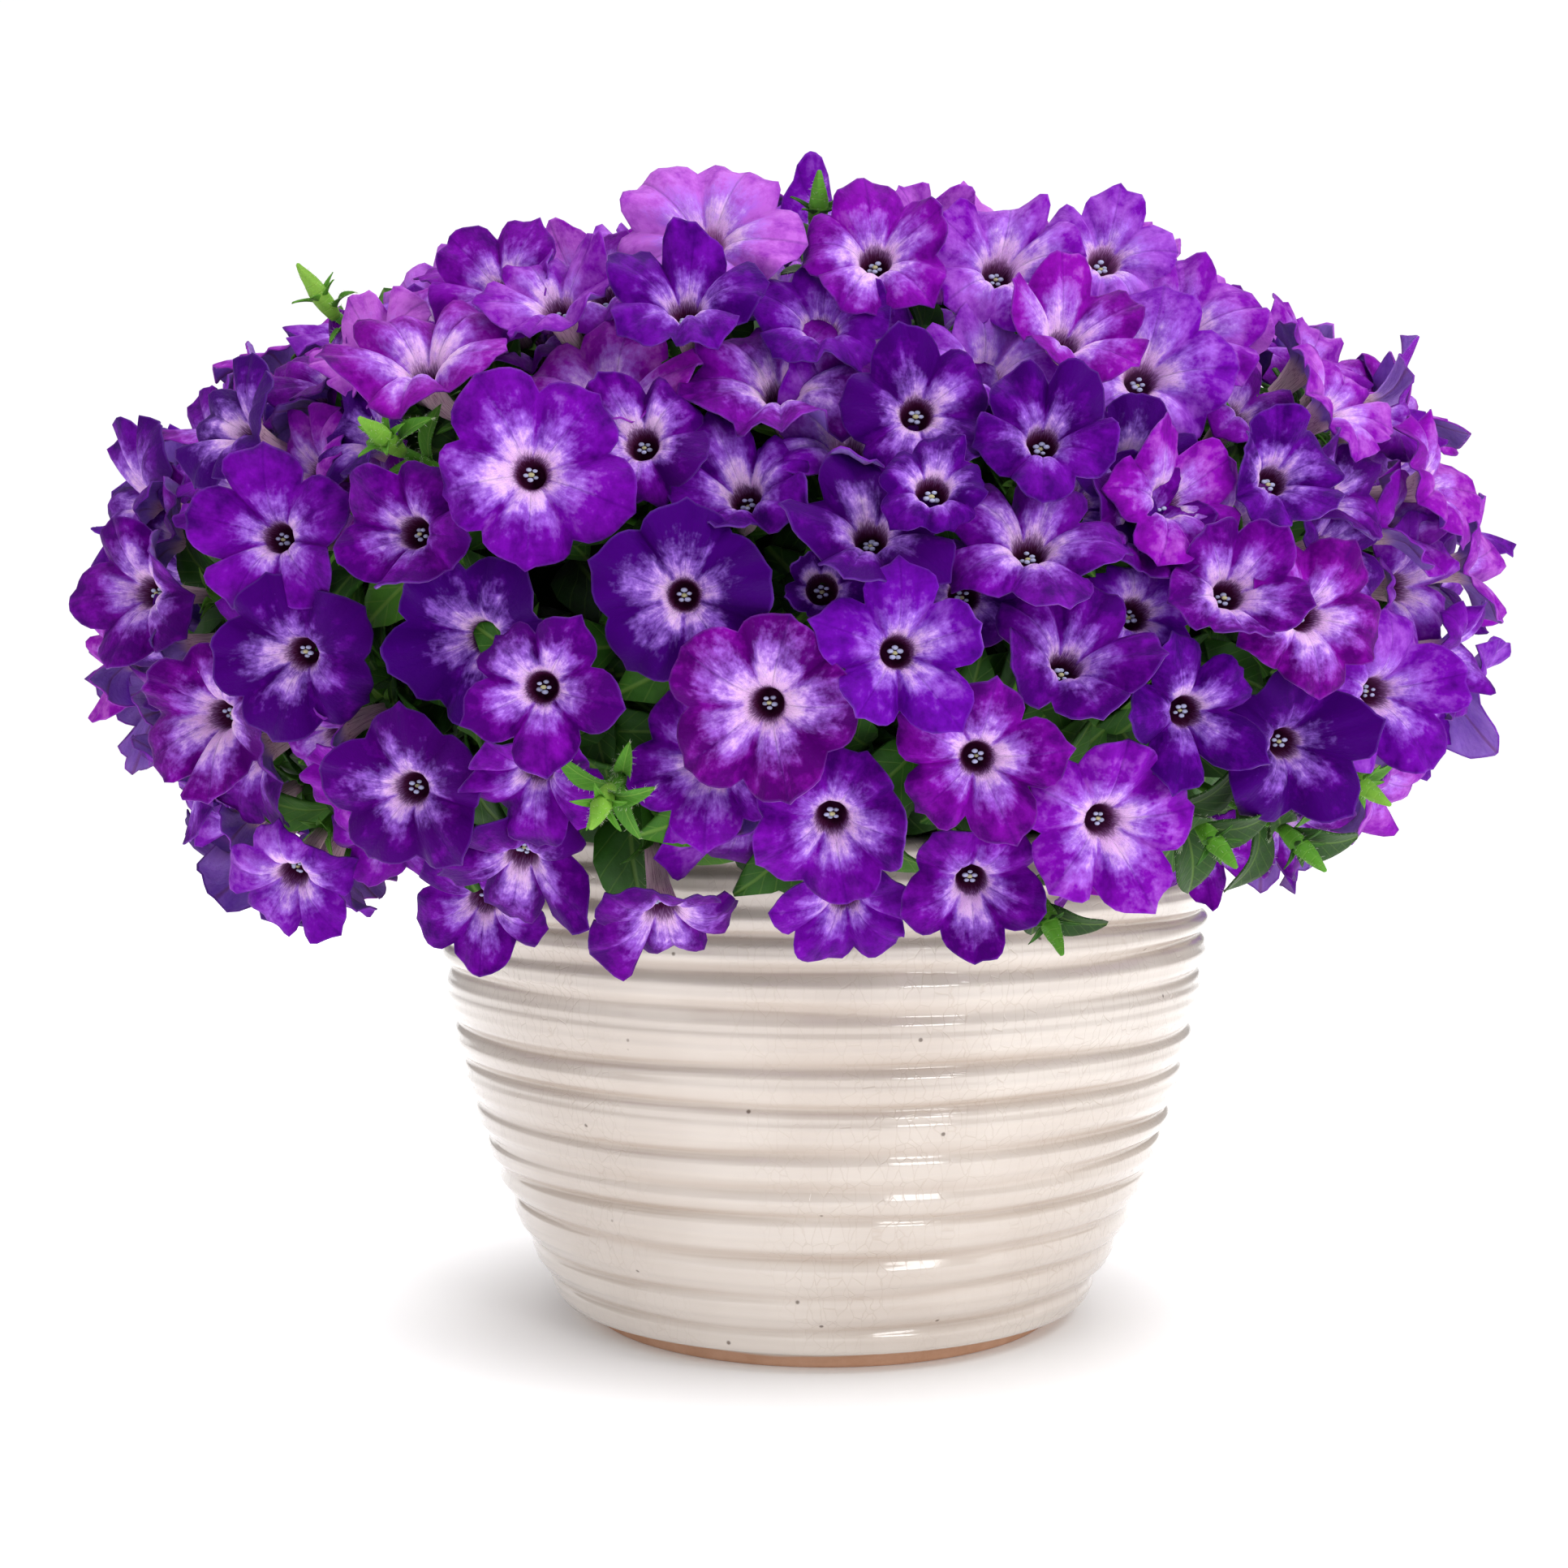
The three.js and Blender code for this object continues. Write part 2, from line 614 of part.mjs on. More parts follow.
// A funnel of five lobes, with the tube and stalk behind it in one taper that is sunk in its knob. A grown
// one is larger by that much on every side.
function bloomSolid(bloom, knob, grow = 0) {
  const { centre, axis, spin, waves } = bloom;
  const radius = bloom.wide / 2;
  const rims = waves.map((_, k) => (k % 2 === 0 ? BLOOM.notch : 1) * radius + GROWN.rim * grow);
  const rimTurn = spin - Math.PI / BLOOM.lobes;
  const rimAt = (lift) => ringRound(centre, axis, rims, rimTurn, waves.map((wave) => wave + lift));
  const deeper = (depth) => centre.clone().addScaledVector(axis, -depth);
  const along = deeper(BLOOM.backDepth).sub(knob).normalize();
  const root = knob.clone().addScaledVector(along, -BLOOM.root - GROWN.root * grow);
  return loftedSolid([
    [deeper(BLOOM.throatDepth - GROWN.throat * grow)],
    ...(grow > 0 ? [rimAt(grow), rimAt(-grow)] : [rimAt(0)]),
    evenRing(
      deeper(BLOOM.backDepth + GROWN.depth * grow),
      axis,
      BLOOM.tube + GROWN.tube * grow,
      BLOOM.lobes,
      spin,
    ),
    [root],
  ]);
}

function knobSolid(knob, grow = 0) {
  const radius = KNOB.radius + GROWN.knob * grow;
  return solidOf(new THREE.OctahedronGeometry(radius, 0)).translate(knob.toArray());
}

// An oval blade from its root along a direction, arched over its midrib and drooping at its tip.
function leafSolid(root, direction, face, length, grow = 0) {
  const ahead = direction.clone().normalize();
  const side = vector().crossVectors(face, ahead).normalize();
  const top = vector().crossVectors(ahead, side);
  const half = (length * LEAF.width) / 2 + grow;
  const at = (along, across, lift) =>
    root
      .clone()
      .addScaledVector(ahead, along * length)
      .addScaledVector(side, across)
      .addScaledVector(top, lift);
  const arch = LEAF.arch * length;
  const waist = ({ at: share, wide, lift: rise }, hand, lift) =>
    at(share, hand * half * wide, arch * rise + lift);
  const edge = (lift) => [
    at(0, 0, lift),
    waist(LEAF.near, 1, lift),
    waist(LEAF.far, 1, lift),
    at(1, 0, lift - LEAF.droop * length),
    waist(LEAF.far, -1, lift),
    waist(LEAF.near, -1, lift),
  ];
  const rib = (lift) => [at(LEAF.archAt, 0, arch + lift)];
  const edges = grow > 0 ? [edge(grow), edge(-grow)] : [edge(0)];
  return loftedSolid([rib(LEAF.thickness / 2 + grow), ...edges, rib(-LEAF.thickness / 2 - grow)]);
}

// A leaf's own length, a little more or less than the usual one.
function variedLength(length, random) {
  return length * (1 + LENGTH_SPREAD * (random() - 0.5));
}

// Leaves stand out of the core in a spiral, tipped up from its surface.
function crownLeaves() {
  const random = seededRandom(CROWN_LEAVES.seed);
  const golden = Math.PI * (3 - Math.sqrt(5));
  const lift = radians(CROWN_LEAVES.lift);
  const lowest = (CORE.bottom + CROWN_LEAVES.above - MOUND.z) / CORE.rise;
  const rootAt = vector(CORE.radius, CORE.radius, CORE.rise).addScalar(-CROWN_LEAVES.sunk);
  return Array.from({ length: CROWN_LEAVES.count }, (_, k) => {
    const rise = 1 - ((k + 0.5) / CROWN_LEAVES.count) * (1 - lowest);
    const level = Math.sqrt(1 - rise * rise);
    const turn = k * golden + CROWN_LEAVES.turn;
    const outward = vector(level * Math.cos(turn), level * Math.sin(turn), rise);
    const root = outward.clone().multiply(rootAt).add(MOUND_CENTRE);
    const flat = acrossOf(outward).applyAxisAngle(outward, 2 * Math.PI * random());
    const ahead = flat.multiplyScalar(Math.cos(lift)).addScaledVector(outward, Math.sin(lift));
    return leafSolid(root, ahead, outward, variedLength(CROWN_LEAVES.length, random));
  });
}

function crownSolid(blockers) {
  const height = STEM.head - STEM.foot;
  const rod = new THREE.CylinderGeometry(STEM.radius, STEM.radius, height, STEM.sides);
  const stem = solidOf(rod.rotateX(Math.PI / 2)).translate([0, 0, STEM.foot + height / 2]);
  const leaves = wasm.Manifold.union(crownLeaves()).subtract(wasm.Manifold.union(blockers));
  return largestBody(wasm.Manifold.union([coreSolid(0), stem, leaves]));
}

// A shoot: a stem from the core to the mound's surface, leaves that stand off it one below another in a
// spiral, and a furled bud at its tip.
function shootSolid(shoot, knob, random, grow = 0) {
  const { bud, leaf, sides } = SHOOT;
  const outward = outwardAt(shoot.point);
  const tip = shoot.point.clone().addScaledVector(outward, -SHOOT.short);
  const along = tip.clone().sub(knob).normalize();
  const stem = SHOOT.stem + GROWN.stem * grow;
  const budTip = tip.clone().addScaledVector(outward, bud.length + grow);
  const budWaist = tip.clone().addScaledVector(outward, bud.length * bud.waistAt);
  const budRoot = tip.clone().addScaledVector(along, -bud.sunk);
  const pieces = [
    knobSolid(knob, grow),
    loftedSolid([[knob], evenRing(knob, along, stem, sides), evenRing(tip, along, stem, sides)]),
    loftedSolid([[budRoot], evenRing(budWaist, outward, bud.radius + grow, sides), [budTip]]),
  ];
  for (let k = 0; k < shoot.leaves; k += 1) {
    const turn = k * leaf.turn + leaf.turnSpread * random();
    const spread = radians(leaf.fan + leaf.fanSpread * (random() - 0.5));
    const flat = acrossOf(outward).applyAxisAngle(outward, turn);
    const ahead = flat.multiplyScalar(Math.sin(spread)).addScaledVector(outward, Math.cos(spread));
    const root = tip.clone().addScaledVector(along, -leaf.step * (k + leaf.first));
    pieces.push(leafSolid(root, ahead, outward, variedLength(shoot.long, random), grow));
  }
  return wasm.Manifold.union(pieces);
}

// ---- Assembly --------------------------------------------------------------------------------------

const shoots = placeShoots();
const blooms = placeBlooms(shoots);
const knobs = gatherSprays(blooms);

const fatCore = coreSolid(GAP);
for (const bloom of blooms) {
  const knob = knobs[bloom.spray];
  bloom.axis = heldNear(bloom.axis, bloom.centre.clone().sub(knob).normalize(), MOST_LEAN);
  bloom.solid = bloomSolid(bloom, knob);
  bloom.fat = bloomSolid(bloom, knob, GAP);
}

// Outer blooms stay whole, and a deeper one that crosses another is cut clear of it, but for the roots of
// one spray, which join at its knob.
const fatKnobs = knobs.map((knob) => knobSolid(knob, GAP));
const joints = knobs.map((knob) => knobSolid(knob, KNOB.joint));
const byLevel = [...blooms].sort((a, b) => a.level - b.level);
byLevel.forEach((bloom, index) => {
  const near = byLevel.slice(0, index).filter((other) => other.centre.distanceTo(bloom.centre) < REACH);
  const cutters = near.map((other) =>
    other.spray === bloom.spray ? other.fat.subtract(joints[other.spray]) : other.fat,
  );
  const otherKnobs = fatKnobs.filter((_, k) => k !== bloom.spray);
  bloom.solid = bloom.solid.subtract(wasm.Manifold.union([...cutters, ...otherKnobs, fatCore]));
});

const group = new THREE.Group();

function addPiece(name, geometry, colour, roughness) {
  const material = new THREE.MeshStandardMaterial({ roughness, metalness: 0 });
  material.color.setRGB(colour.r, colour.g, colour.b);
  const mesh = new THREE.Mesh(geometry, material);
  mesh.name = name;
  group.add(mesh);
}

addPiece("pot", potGeometry(), { r: 0.72, g: 0.66, b: 0.6 }, 0.25);
addPiece("soil", soilGeometry(), { r: 0.05, g: 0.035, b: 0.025 }, 0.95);

const sprays = knobs.map((knob, index) => {
  const own = blooms.filter((bloom) => bloom.spray === index);
  const seat = knobSolid(knob).subtract(fatCore);
  return { own, solid: largestBody(wasm.Manifold.union([seat, ...own.map((bloom) => bloom.solid)])) };
});
sprays.forEach(({ own, solid }, index) => {
  if (own.length > 0) {
    const name = `bloom_spray_${String(index + 1).padStart(2, "0")}`;
    addPiece(name, geometryOf(solid), VIOLETS[index % VIOLETS.length], 0.6);
  }
});

// Shoots are cut clear of the blooms, and the crown's leaves are cut clear of both and of the pot.
const fatBlooms = wasm.Manifold.union([...blooms.map((bloom) => bloom.fat), ...fatKnobs]);
const potSpace = [
  [0, 0],
  [POT.bellyRadius + POT.free, 0],
  [POT.bellyRadius + POT.free, POT.height + GAP],
  [0, POT.height + GAP],
];
const blockers = [fatBlooms, solidOf(turned(potSpace, POT.sides))];
shoots.forEach((shoot, index) => {
  const knob = seatOnCore(shoot.point);
  const solid = shootSolid(shoot, knob, seededRandom(index + 1));
  const clear = solid.subtract(wasm.Manifold.union([fatCore, ...blockers]));
  blockers.push(shootSolid(shoot, knob, seededRandom(index + 1), GAP));
  addPiece(`leafy_shoot_${index + 1}`, geometryOf(largestBody(clear)), GREEN, 0.7);
});

addPiece("crown", geometryOf(crownSolid(blockers)), GREEN, 0.8);

export default group;
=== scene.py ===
"""A mound of violet, white-starred petunias in a ribbed, glazed pot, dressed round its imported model.

Sizes are in millimetres until a mesh is made. The front, -Y, faces the camera.
"""

from __future__ import annotations

import logging
import math
from dataclasses import dataclass, field
from enum import Enum

import bpy
import numpy as np
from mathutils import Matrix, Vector

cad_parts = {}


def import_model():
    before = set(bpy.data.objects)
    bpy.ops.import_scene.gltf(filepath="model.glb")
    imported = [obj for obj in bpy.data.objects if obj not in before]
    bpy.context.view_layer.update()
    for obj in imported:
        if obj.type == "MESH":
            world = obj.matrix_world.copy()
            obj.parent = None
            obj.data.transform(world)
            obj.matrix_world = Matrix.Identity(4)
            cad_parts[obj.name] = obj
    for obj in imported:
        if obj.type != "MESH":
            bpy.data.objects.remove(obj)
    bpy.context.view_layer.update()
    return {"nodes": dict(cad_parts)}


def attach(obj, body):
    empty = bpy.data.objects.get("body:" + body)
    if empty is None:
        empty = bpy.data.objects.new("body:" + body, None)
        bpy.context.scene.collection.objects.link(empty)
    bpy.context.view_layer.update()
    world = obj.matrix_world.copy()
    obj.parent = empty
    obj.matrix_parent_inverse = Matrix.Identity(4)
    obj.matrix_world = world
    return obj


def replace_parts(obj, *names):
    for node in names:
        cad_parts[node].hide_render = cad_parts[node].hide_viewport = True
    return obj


LOG = logging.getLogger("petunia")
MM = 0.001
MASK = 0xFFFFFFFF
ROOT = "root"
TURN = 2 * math.pi
ANY_TURN = 6.28
FULLNESS = 1.3
HAIR_RADIUS = 0.04
STEM_PLACE = (0.5, 0.6, 0.0)
WHITE = (1.0, 1.0, 1.0, 1.0)
X, Y, Z = np.eye(3)
Array = np.ndarray
Draws = np.random.Generator
Material = bpy.types.Material
Tree = bpy.types.NodeTree
Colour = tuple[float, float, float, float]
Disc = tuple[Array, Array, float]


def paint(code: str) -> Colour:
    """A linear colour with full alpha, from six hexadecimal digits as a screen shows them."""
    shares = [int(code[k : k + 2], 16) / 255 for k in (0, 2, 4)]
    return (*[s / 12.92 if s <= 0.04045 else ((s + 0.055) / 1.055) ** 2.4 for s in shares], 1.0)


def unit(vector: Array) -> Array:
    """The direction of a vector, or of each row of an array of them."""
    return vector / np.linalg.norm(vector, axis=-1, keepdims=True)


def turned(vector: Array, axis: Array, angle: float) -> Array:
    """A vector turned round a unit axis by an angle in radians."""
    along = axis * np.dot(axis, vector)
    return along + (vector - along) * math.cos(angle) + np.cross(axis, vector) * math.sin(angle)


def across_of(axis: Array) -> Array:
    """A direction square to a unit axis: level, unless the axis is nearly upright."""
    return unit(np.cross(Z if abs(axis[2]) < 0.95 else Y, axis))


def on_sphere(turn: Array | float, rise: Array | float) -> Array:
    """Unit vectors with a turn round Z and a height."""
    level = np.sqrt(1 - rise * rise)
    return np.stack([level * np.cos(turn), level * np.sin(turn), rise], axis=-1)


def circle(angles: Array, side: Array, other: Array) -> Array:
    """Points of the unit circle that two directions span."""
    return np.cos(angles)[:, None] * side + np.sin(angles)[:, None] * other


class SeededRandom:
    """Random numbers from 0 to 1, the same ones that place the model's blooms and leaves."""

    def __init__(self, seed: int) -> None:
        """Starts the row of numbers at a seed."""
        self.state = seed & MASK

    def __call__(self) -> float:
        """The next number."""
        self.state = (self.state + 0x6D2B79F5) & MASK
        mixed = ((self.state ^ (self.state >> 15)) * (self.state | 1)) & MASK
        product = ((mixed ^ (mixed >> 7)) * (mixed | 61)) & MASK
        mixed ^= (mixed + product) & MASK
        return (mixed ^ (mixed >> 14)) / 4294967296


# ---- Where the blooms and shoots are ---------------------------------------------------------------


class Tone(Enum):
    """A bloom's colouring: hue from blue-violet 0 to magenta 1, lightness, and the star's reach."""

    DARK = (0.22, 0.04, 0.42)
    VIOLET = (0.30, 0.38, 0.46)
    BLUE = (0.02, 0.58, 0.44)
    PURPLE = (0.55, 0.22, 0.47)
    MAGENTA = (0.95, 0.32, 0.60)
    LIGHT = (0.25, 0.56, 0.52)
    LILAC = (0.68, 0.62, 0.44)


class Form(Enum):
    """How a bloom's lobes stand: how far they curl back, how much they vary, and their notches."""

    OPEN = (0.20, 0.38, 0.08)
    POINTED = (0.30, 0.45, 0.19)
    FOLDED = (0.50, 0.95, 0.10)
    YOUNG = (-0.55, 0.30, 0.26)


DARK, VIOLET, BLUE, PURPLE, MAGENTA, LIGHT, LILAC = Tone
OPEN, POINTED, FOLDED, YOUNG = Form


@dataclass(frozen=True)
class Spot:
    """A listed bloom: its place in the square photograph, width, colouring, turn and form."""

    x: float
    y: float
    wide: float
    tone: Tone
    up: float | None = None
    right: float | None = None
    form: Form = OPEN
    lift: float = 0.0


FRONT = (
    Spot(839, 738, 51, DARK, 0, 0, lift=-2),
    Spot(943, 862, 50, MAGENTA, -8, -10, lift=7),
    Spot(1109, 798, 48, BLUE, 4, 10, form=POINTED, lift=3),
    Spot(1200, 930, 46, PURPLE, -8, 3, form=POINTED, lift=2),
    Spot(1025, 1015, 44, VIOLET, -20, 0),
    Spot(857, 980, 49, VIOLET, -10, -14, lift=-6),
    Spot(1202, 1098, 43, PURPLE, -20, 8),
    Spot(1361, 1008, 50, LIGHT, -10, 18, lift=3),
    Spot(675, 843, 44, PURPLE, -4, -6, form=POINTED, lift=6),
    Spot(562, 798, 50, DARK, -10, -25, lift=-7),
    Spot(660, 583, 52, LIGHT, 8, 4),
    Spot(907, 590, 46, VIOLET, 32, -12, form=POINTED),
    Spot(1140, 490, 42, DARK, 14, 4),
    Spot(1287, 535, 43, DARK, 25, 8),
    Spot(1278, 676, 51, VIOLET, 38, 10, form=POINTED),
    Spot(1080, 650, 48, DARK, 32, 2, form=POINTED),
    Spot(1050, 515, 53, LIGHT, 48, 4, form=POINTED),
    Spot(957, 430, 52, PURPLE, 50, -4),
    Spot(731, 440, 56, MAGENTA, 50, -15),
    Spot(1337, 812, 49, VIOLET, 55, 12),
    Spot(775, 520, 38, PURPLE, 20, -10, form=FOLDED, lift=-5),
    Spot(1013, 718, 26, DARK, 12, 0, form=YOUNG, lift=-8),
    Spot(640, 985, 44, VIOLET, -38, -16),
    Spot(640, 1070, 45, PURPLE, -48, -12, form=POINTED),
    Spot(1040, 1128, 42, VIOLET, -40, 0),
    Spot(1142, 614, 32, DARK, 30, 6, form=FOLDED, lift=8),
    Spot(1217, 733, 32, DARK, 10, 12, lift=-7),
    Spot(1420, 755, 34, BLUE, 14, 24, form=FOLDED, lift=-7),
    Spot(336, 658, 51, VIOLET, 8, -18),
    Spot(344, 802, 48, DARK, -12, -20),
    Spot(254, 884, 49, MAGENTA, -8, -38),
    Spot(504, 972, 45, DARK, -10, -18),
    Spot(497, 655, 42, PURPLE, 6, -26),
    Spot(167, 729, 46, PURPLE, 4, -46),
    Spot(190, 805, 42, DARK),
    Spot(112, 815, 44, LILAC),
    Spot(142, 888, 44, LILAC),
    Spot(392, 915, 40, LILAC, -30, -60, form=FOLDED),
    Spot(214, 966, 44, VIOLET),
    Spot(292, 1022, 43, VIOLET),
    Spot(362, 1082, 44, LIGHT, -36, -20, form=POINTED),
    Spot(405, 1000, 40, LILAC),
    Spot(460, 1050, 40, VIOLET, -42, -10),
    Spot(283, 519, 42, DARK),
    Spot(255, 590, 43, VIOLET),
    Spot(178, 655, 44, PURPLE),
    Spot(430, 512, 42, DARK),
    Spot(362, 560, 41, LILAC),
    Spot(432, 592, 36, LILAC, 30, -70),
    Spot(375, 470, 44, PURPLE),
    Spot(385, 425, 42, PURPLE),
    Spot(868, 288, 55, LILAC, 30, -4, lift=-3),
    Spot(842, 360, 46, DARK, 48, -6),
    Spot(515, 440, 55, MAGENTA, 52, -18),
    Spot(1080, 312, 45, PURPLE, 34, 4),
    Spot(1235, 320, 48, LIGHT, 32, 10),
    Spot(1155, 355, 43, DARK, 76, 4),
    Spot(708, 290, 44, LILAC),
    Spot(606, 336, 42, PURPLE, 36, -20),
    Spot(560, 312, 40, PURPLE),
    Spot(678, 350, 41, VIOLET),
    Spot(745, 352, 42, PURPLE),
    Spot(645, 395, 42, VIOLET),
    Spot(530, 365, 44, MAGENTA),
    Spot(450, 385, 42, LILAC),
    Spot(1155, 262, 43, LILAC, 10, 30, lift=-12),
    Spot(1262, 272, 43, LILAC),
    Spot(1365, 312, 41, LIGHT, 34, 16),
    Spot(1310, 300, 40, LILAC),
    Spot(1540, 352, 45, LILAC, 20, 30, lift=-12),
    Spot(1040, 254, 40, LIGHT, form=POINTED),
    Spot(968, 300, 42, LIGHT, 40, -60, form=FOLDED),
    Spot(958, 362, 41, LIGHT),
    Spot(1015, 350, 40, DARK),
    Spot(1075, 392, 43, DARK),
    Spot(1230, 420, 41, LIGHT),
    Spot(1325, 395, 44, MAGENTA),
    Spot(1275, 460, 40, VIOLET),
    Spot(1408, 463, 50, LIGHT, 22, 12),
    Spot(1468, 385, 51, LIGHT, 35, 14),
    Spot(1530, 716, 44, PURPLE, 18, 22),
    Spot(1617, 756, 45, MAGENTA, 6, 28),
    Spot(1710, 855, 51, LIGHT, -4, 34),
    Spot(1478, 882, 45, DARK, -4, 20, form=POINTED, lift=-2),
    Spot(1597, 920, 48, DARK, -8, 26),
    Spot(1583, 580, 42, DARK, 20, 26),
    Spot(1555, 478, 38, PURPLE),
    Spot(1622, 425, 44, LILAC),
    Spot(1655, 492, 42, LILAC),
    Spot(1732, 500, 44, PURPLE, 10, 78),
    Spot(1770, 592, 44, LILAC),
    Spot(1745, 640, 42, LILAC),
    Spot(1665, 600, 40, PURPLE),
    Spot(1655, 672, 40, DARK),
    Spot(1828, 694, 44, LILAC),
    Spot(1745, 722, 46, LIGHT, 6, 40),
    Spot(1805, 810, 44, VIOLET),
    Spot(1785, 895, 44, VIOLET),
    Spot(1722, 980, 44, LILAC),
    Spot(1422, 640, 41, PURPLE, 24, 30),
    Spot(1480, 598, 40, LILAC),
    Spot(1545, 640, 38, LILAC),
    Spot(1425, 545, 42, DARK),
    Spot(1352, 596, 40, DARK),
)


@dataclass(frozen=True)
class ShootSpot:
    """A leafy shoot: where its tip shows in the photograph, or its turn and rise behind."""

    long: float
    x: float | None = None
    y: float | None = None
    turn: float = 0.0
    rise: float = 0.0
    narrow: bool = False
    leaves: int = 5


SHOOTS = (
    ShootSpot(24, 480, 545, narrow=True),
    ShootSpot(18, 400, 372, narrow=True, leaves=4),
    ShootSpot(26, 745, 985, narrow=True),
    ShootSpot(30, 1668, 962, narrow=True),
    ShootSpot(25, 1490, 1030),
    ShootSpot(24, 1595, 1035),
    ShootSpot(18, 1290, 1128),
    ShootSpot(14, 1008, 268),
    ShootSpot(30, turn=40, rise=-0.42),
    ShootSpot(28, turn=92, rise=0.2),
    ShootSpot(30, turn=150, rise=-0.35),
)


@dataclass(frozen=True)
class Viewpoint:
    """The photograph's camera. Its picture is square, and focal is in the picture's own pixels."""

    distance: float = 840
    height: float = 224
    pitch: float = math.radians(2.1)
    yaw: float = math.radians(0.98)
    focal: float = 2798
    middle: float = 966
    sensor: float = 36

    def eye(self) -> Array:
        """The camera's place."""
        return np.array([0.0, -self.distance, self.height])

    def ahead(self) -> Array:
        """The direction that the camera looks in."""
        level = math.cos(self.pitch)
        return np.array([-math.sin(self.yaw) * level, math.cos(self.yaw) * level, -math.sin(self.pitch)])

    def height_seen(self, row: float, y: float) -> float:
        """The height at which a place y millimetres behind the middle is seen in a row of the picture."""
        rise = math.atan((self.middle - row) / self.focal) - self.pitch
        return self.height + (self.distance + y) * math.tan(rise)

    def sight_line(self, x: float, y: float) -> Array:
        """The direction in which a pixel is seen, x from the left edge and y from the top."""
        right = np.array([math.cos(self.yaw), math.sin(self.yaw), 0.0])
        up = np.cross(right, self.ahead())
        across, above = (x - self.middle) / self.focal, (self.middle - y) / self.focal
        return unit(self.ahead() + right * across + up * above)


VIEW = Viewpoint()


@dataclass(frozen=True)
class Mound:
    """The ellipsoid that the blooms lie on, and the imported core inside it, by their half axes."""

    centre: tuple[float, float, float] = (-10, 0, 255)
    half: tuple[float, float, float] = (251, 251, 163)
    core: tuple[float, float, float] = (166, 166, 93)
    core_bottom: float = 189
    inset: float = 7
    knob_lift: float = 0.5
    knob_lowest: float = 200

    def point(self, direction: Array, inset: float) -> Array:
        """The point of the inset mound that a direction on the unit sphere stands for."""
        return direction * (np.array(self.half) - inset) + self.centre

    def outward(self, point: Array) -> Array:
        """The direction square to the mound at a point."""
        return unit((point - self.centre) / np.array(self.half) ** 2)

    def seen(self, spot: Spot | ShootSpot, inset: float) -> Array:
        """Where the line of sight to a spot meets the mound, or passes it nearest, on the unit sphere."""
        size = np.array(self.half) - inset
        eye, ray = (VIEW.eye() - self.centre) / size, VIEW.sight_line(spot.x, spot.y) / size
        nearest = -np.dot(eye, ray) / np.dot(ray, ray)
        missed = eye + ray * nearest
        back = math.sqrt(max(0.0, (1 - np.dot(missed, missed)) / np.dot(ray, ray)))
        return unit(eye + ray * (nearest - back))

    def seat(self, point: Array) -> Array:
        """The place on the core for the knob of what grows at a point of the mound."""
        size = np.array(self.core) + self.knob_lift
        toward = unit((point - self.centre) / np.array(self.half))
        rise = max(toward[2], (self.knob_lowest - self.centre[2]) / size[2])
        level = math.sqrt((1 - rise**2) / (toward[0] ** 2 + toward[1] ** 2))
        return np.array([toward[0] * level, toward[1] * level, rise]) * size + self.centre


MOUND = Mound()


@dataclass
class BloomPlace:
    """One bloom: where it is, which way it faces, and what it looks like."""

    point: Array
    wide: float
    tone: tuple[float, float, float]
    form: Form
    spot: Spot | None = None
    direction: Array | None = None
    lean: Array | None = None
    centre: Array | None = None
    axis: Array | None = None
    spin: float = 0.0
    waves: Array | None = None
    spray: int = 0

    def disc(self, fullness: float = 1.0) -> Disc:
        """The limb as a flat disc: its centre, axis and width."""
        return self.centre, self.axis, self.wide * fullness


def crossing(one: Disc, other: Disc) -> float:
    """How far two limbs cross each other, each taken as a flat disc.

    Args:
        one: A disc's centre, axis and width.
        other: Another disc's.

    Returns:
        The length of the line that both share, or 0 where they don't cross.
    """
    line, apart = np.cross(one[1], other[1]), other[0] - one[0]
    if not line.any() or np.linalg.norm(apart) > (one[2] + other[2]) / 2:
        return 0.0
    line = unit(line)
    in_one = np.cross(line, one[1])
    reach = np.dot(other[1], apart) / np.dot(other[1], in_one)
    rest = apart - in_one * reach
    shift = float(np.dot(rest, line))
    half_one = math.sqrt(max(0.0, (one[2] / 2) ** 2 - reach**2))
    half_other = math.sqrt(max(0.0, (other[2] / 2) ** 2 - float(np.dot(rest, rest)) + shift**2))
    shared = min(half_one, shift + half_other) - max(-half_one, shift - half_other)
    return max(0.0, shared) if half_one > 0 and half_other > 0 else 0.0


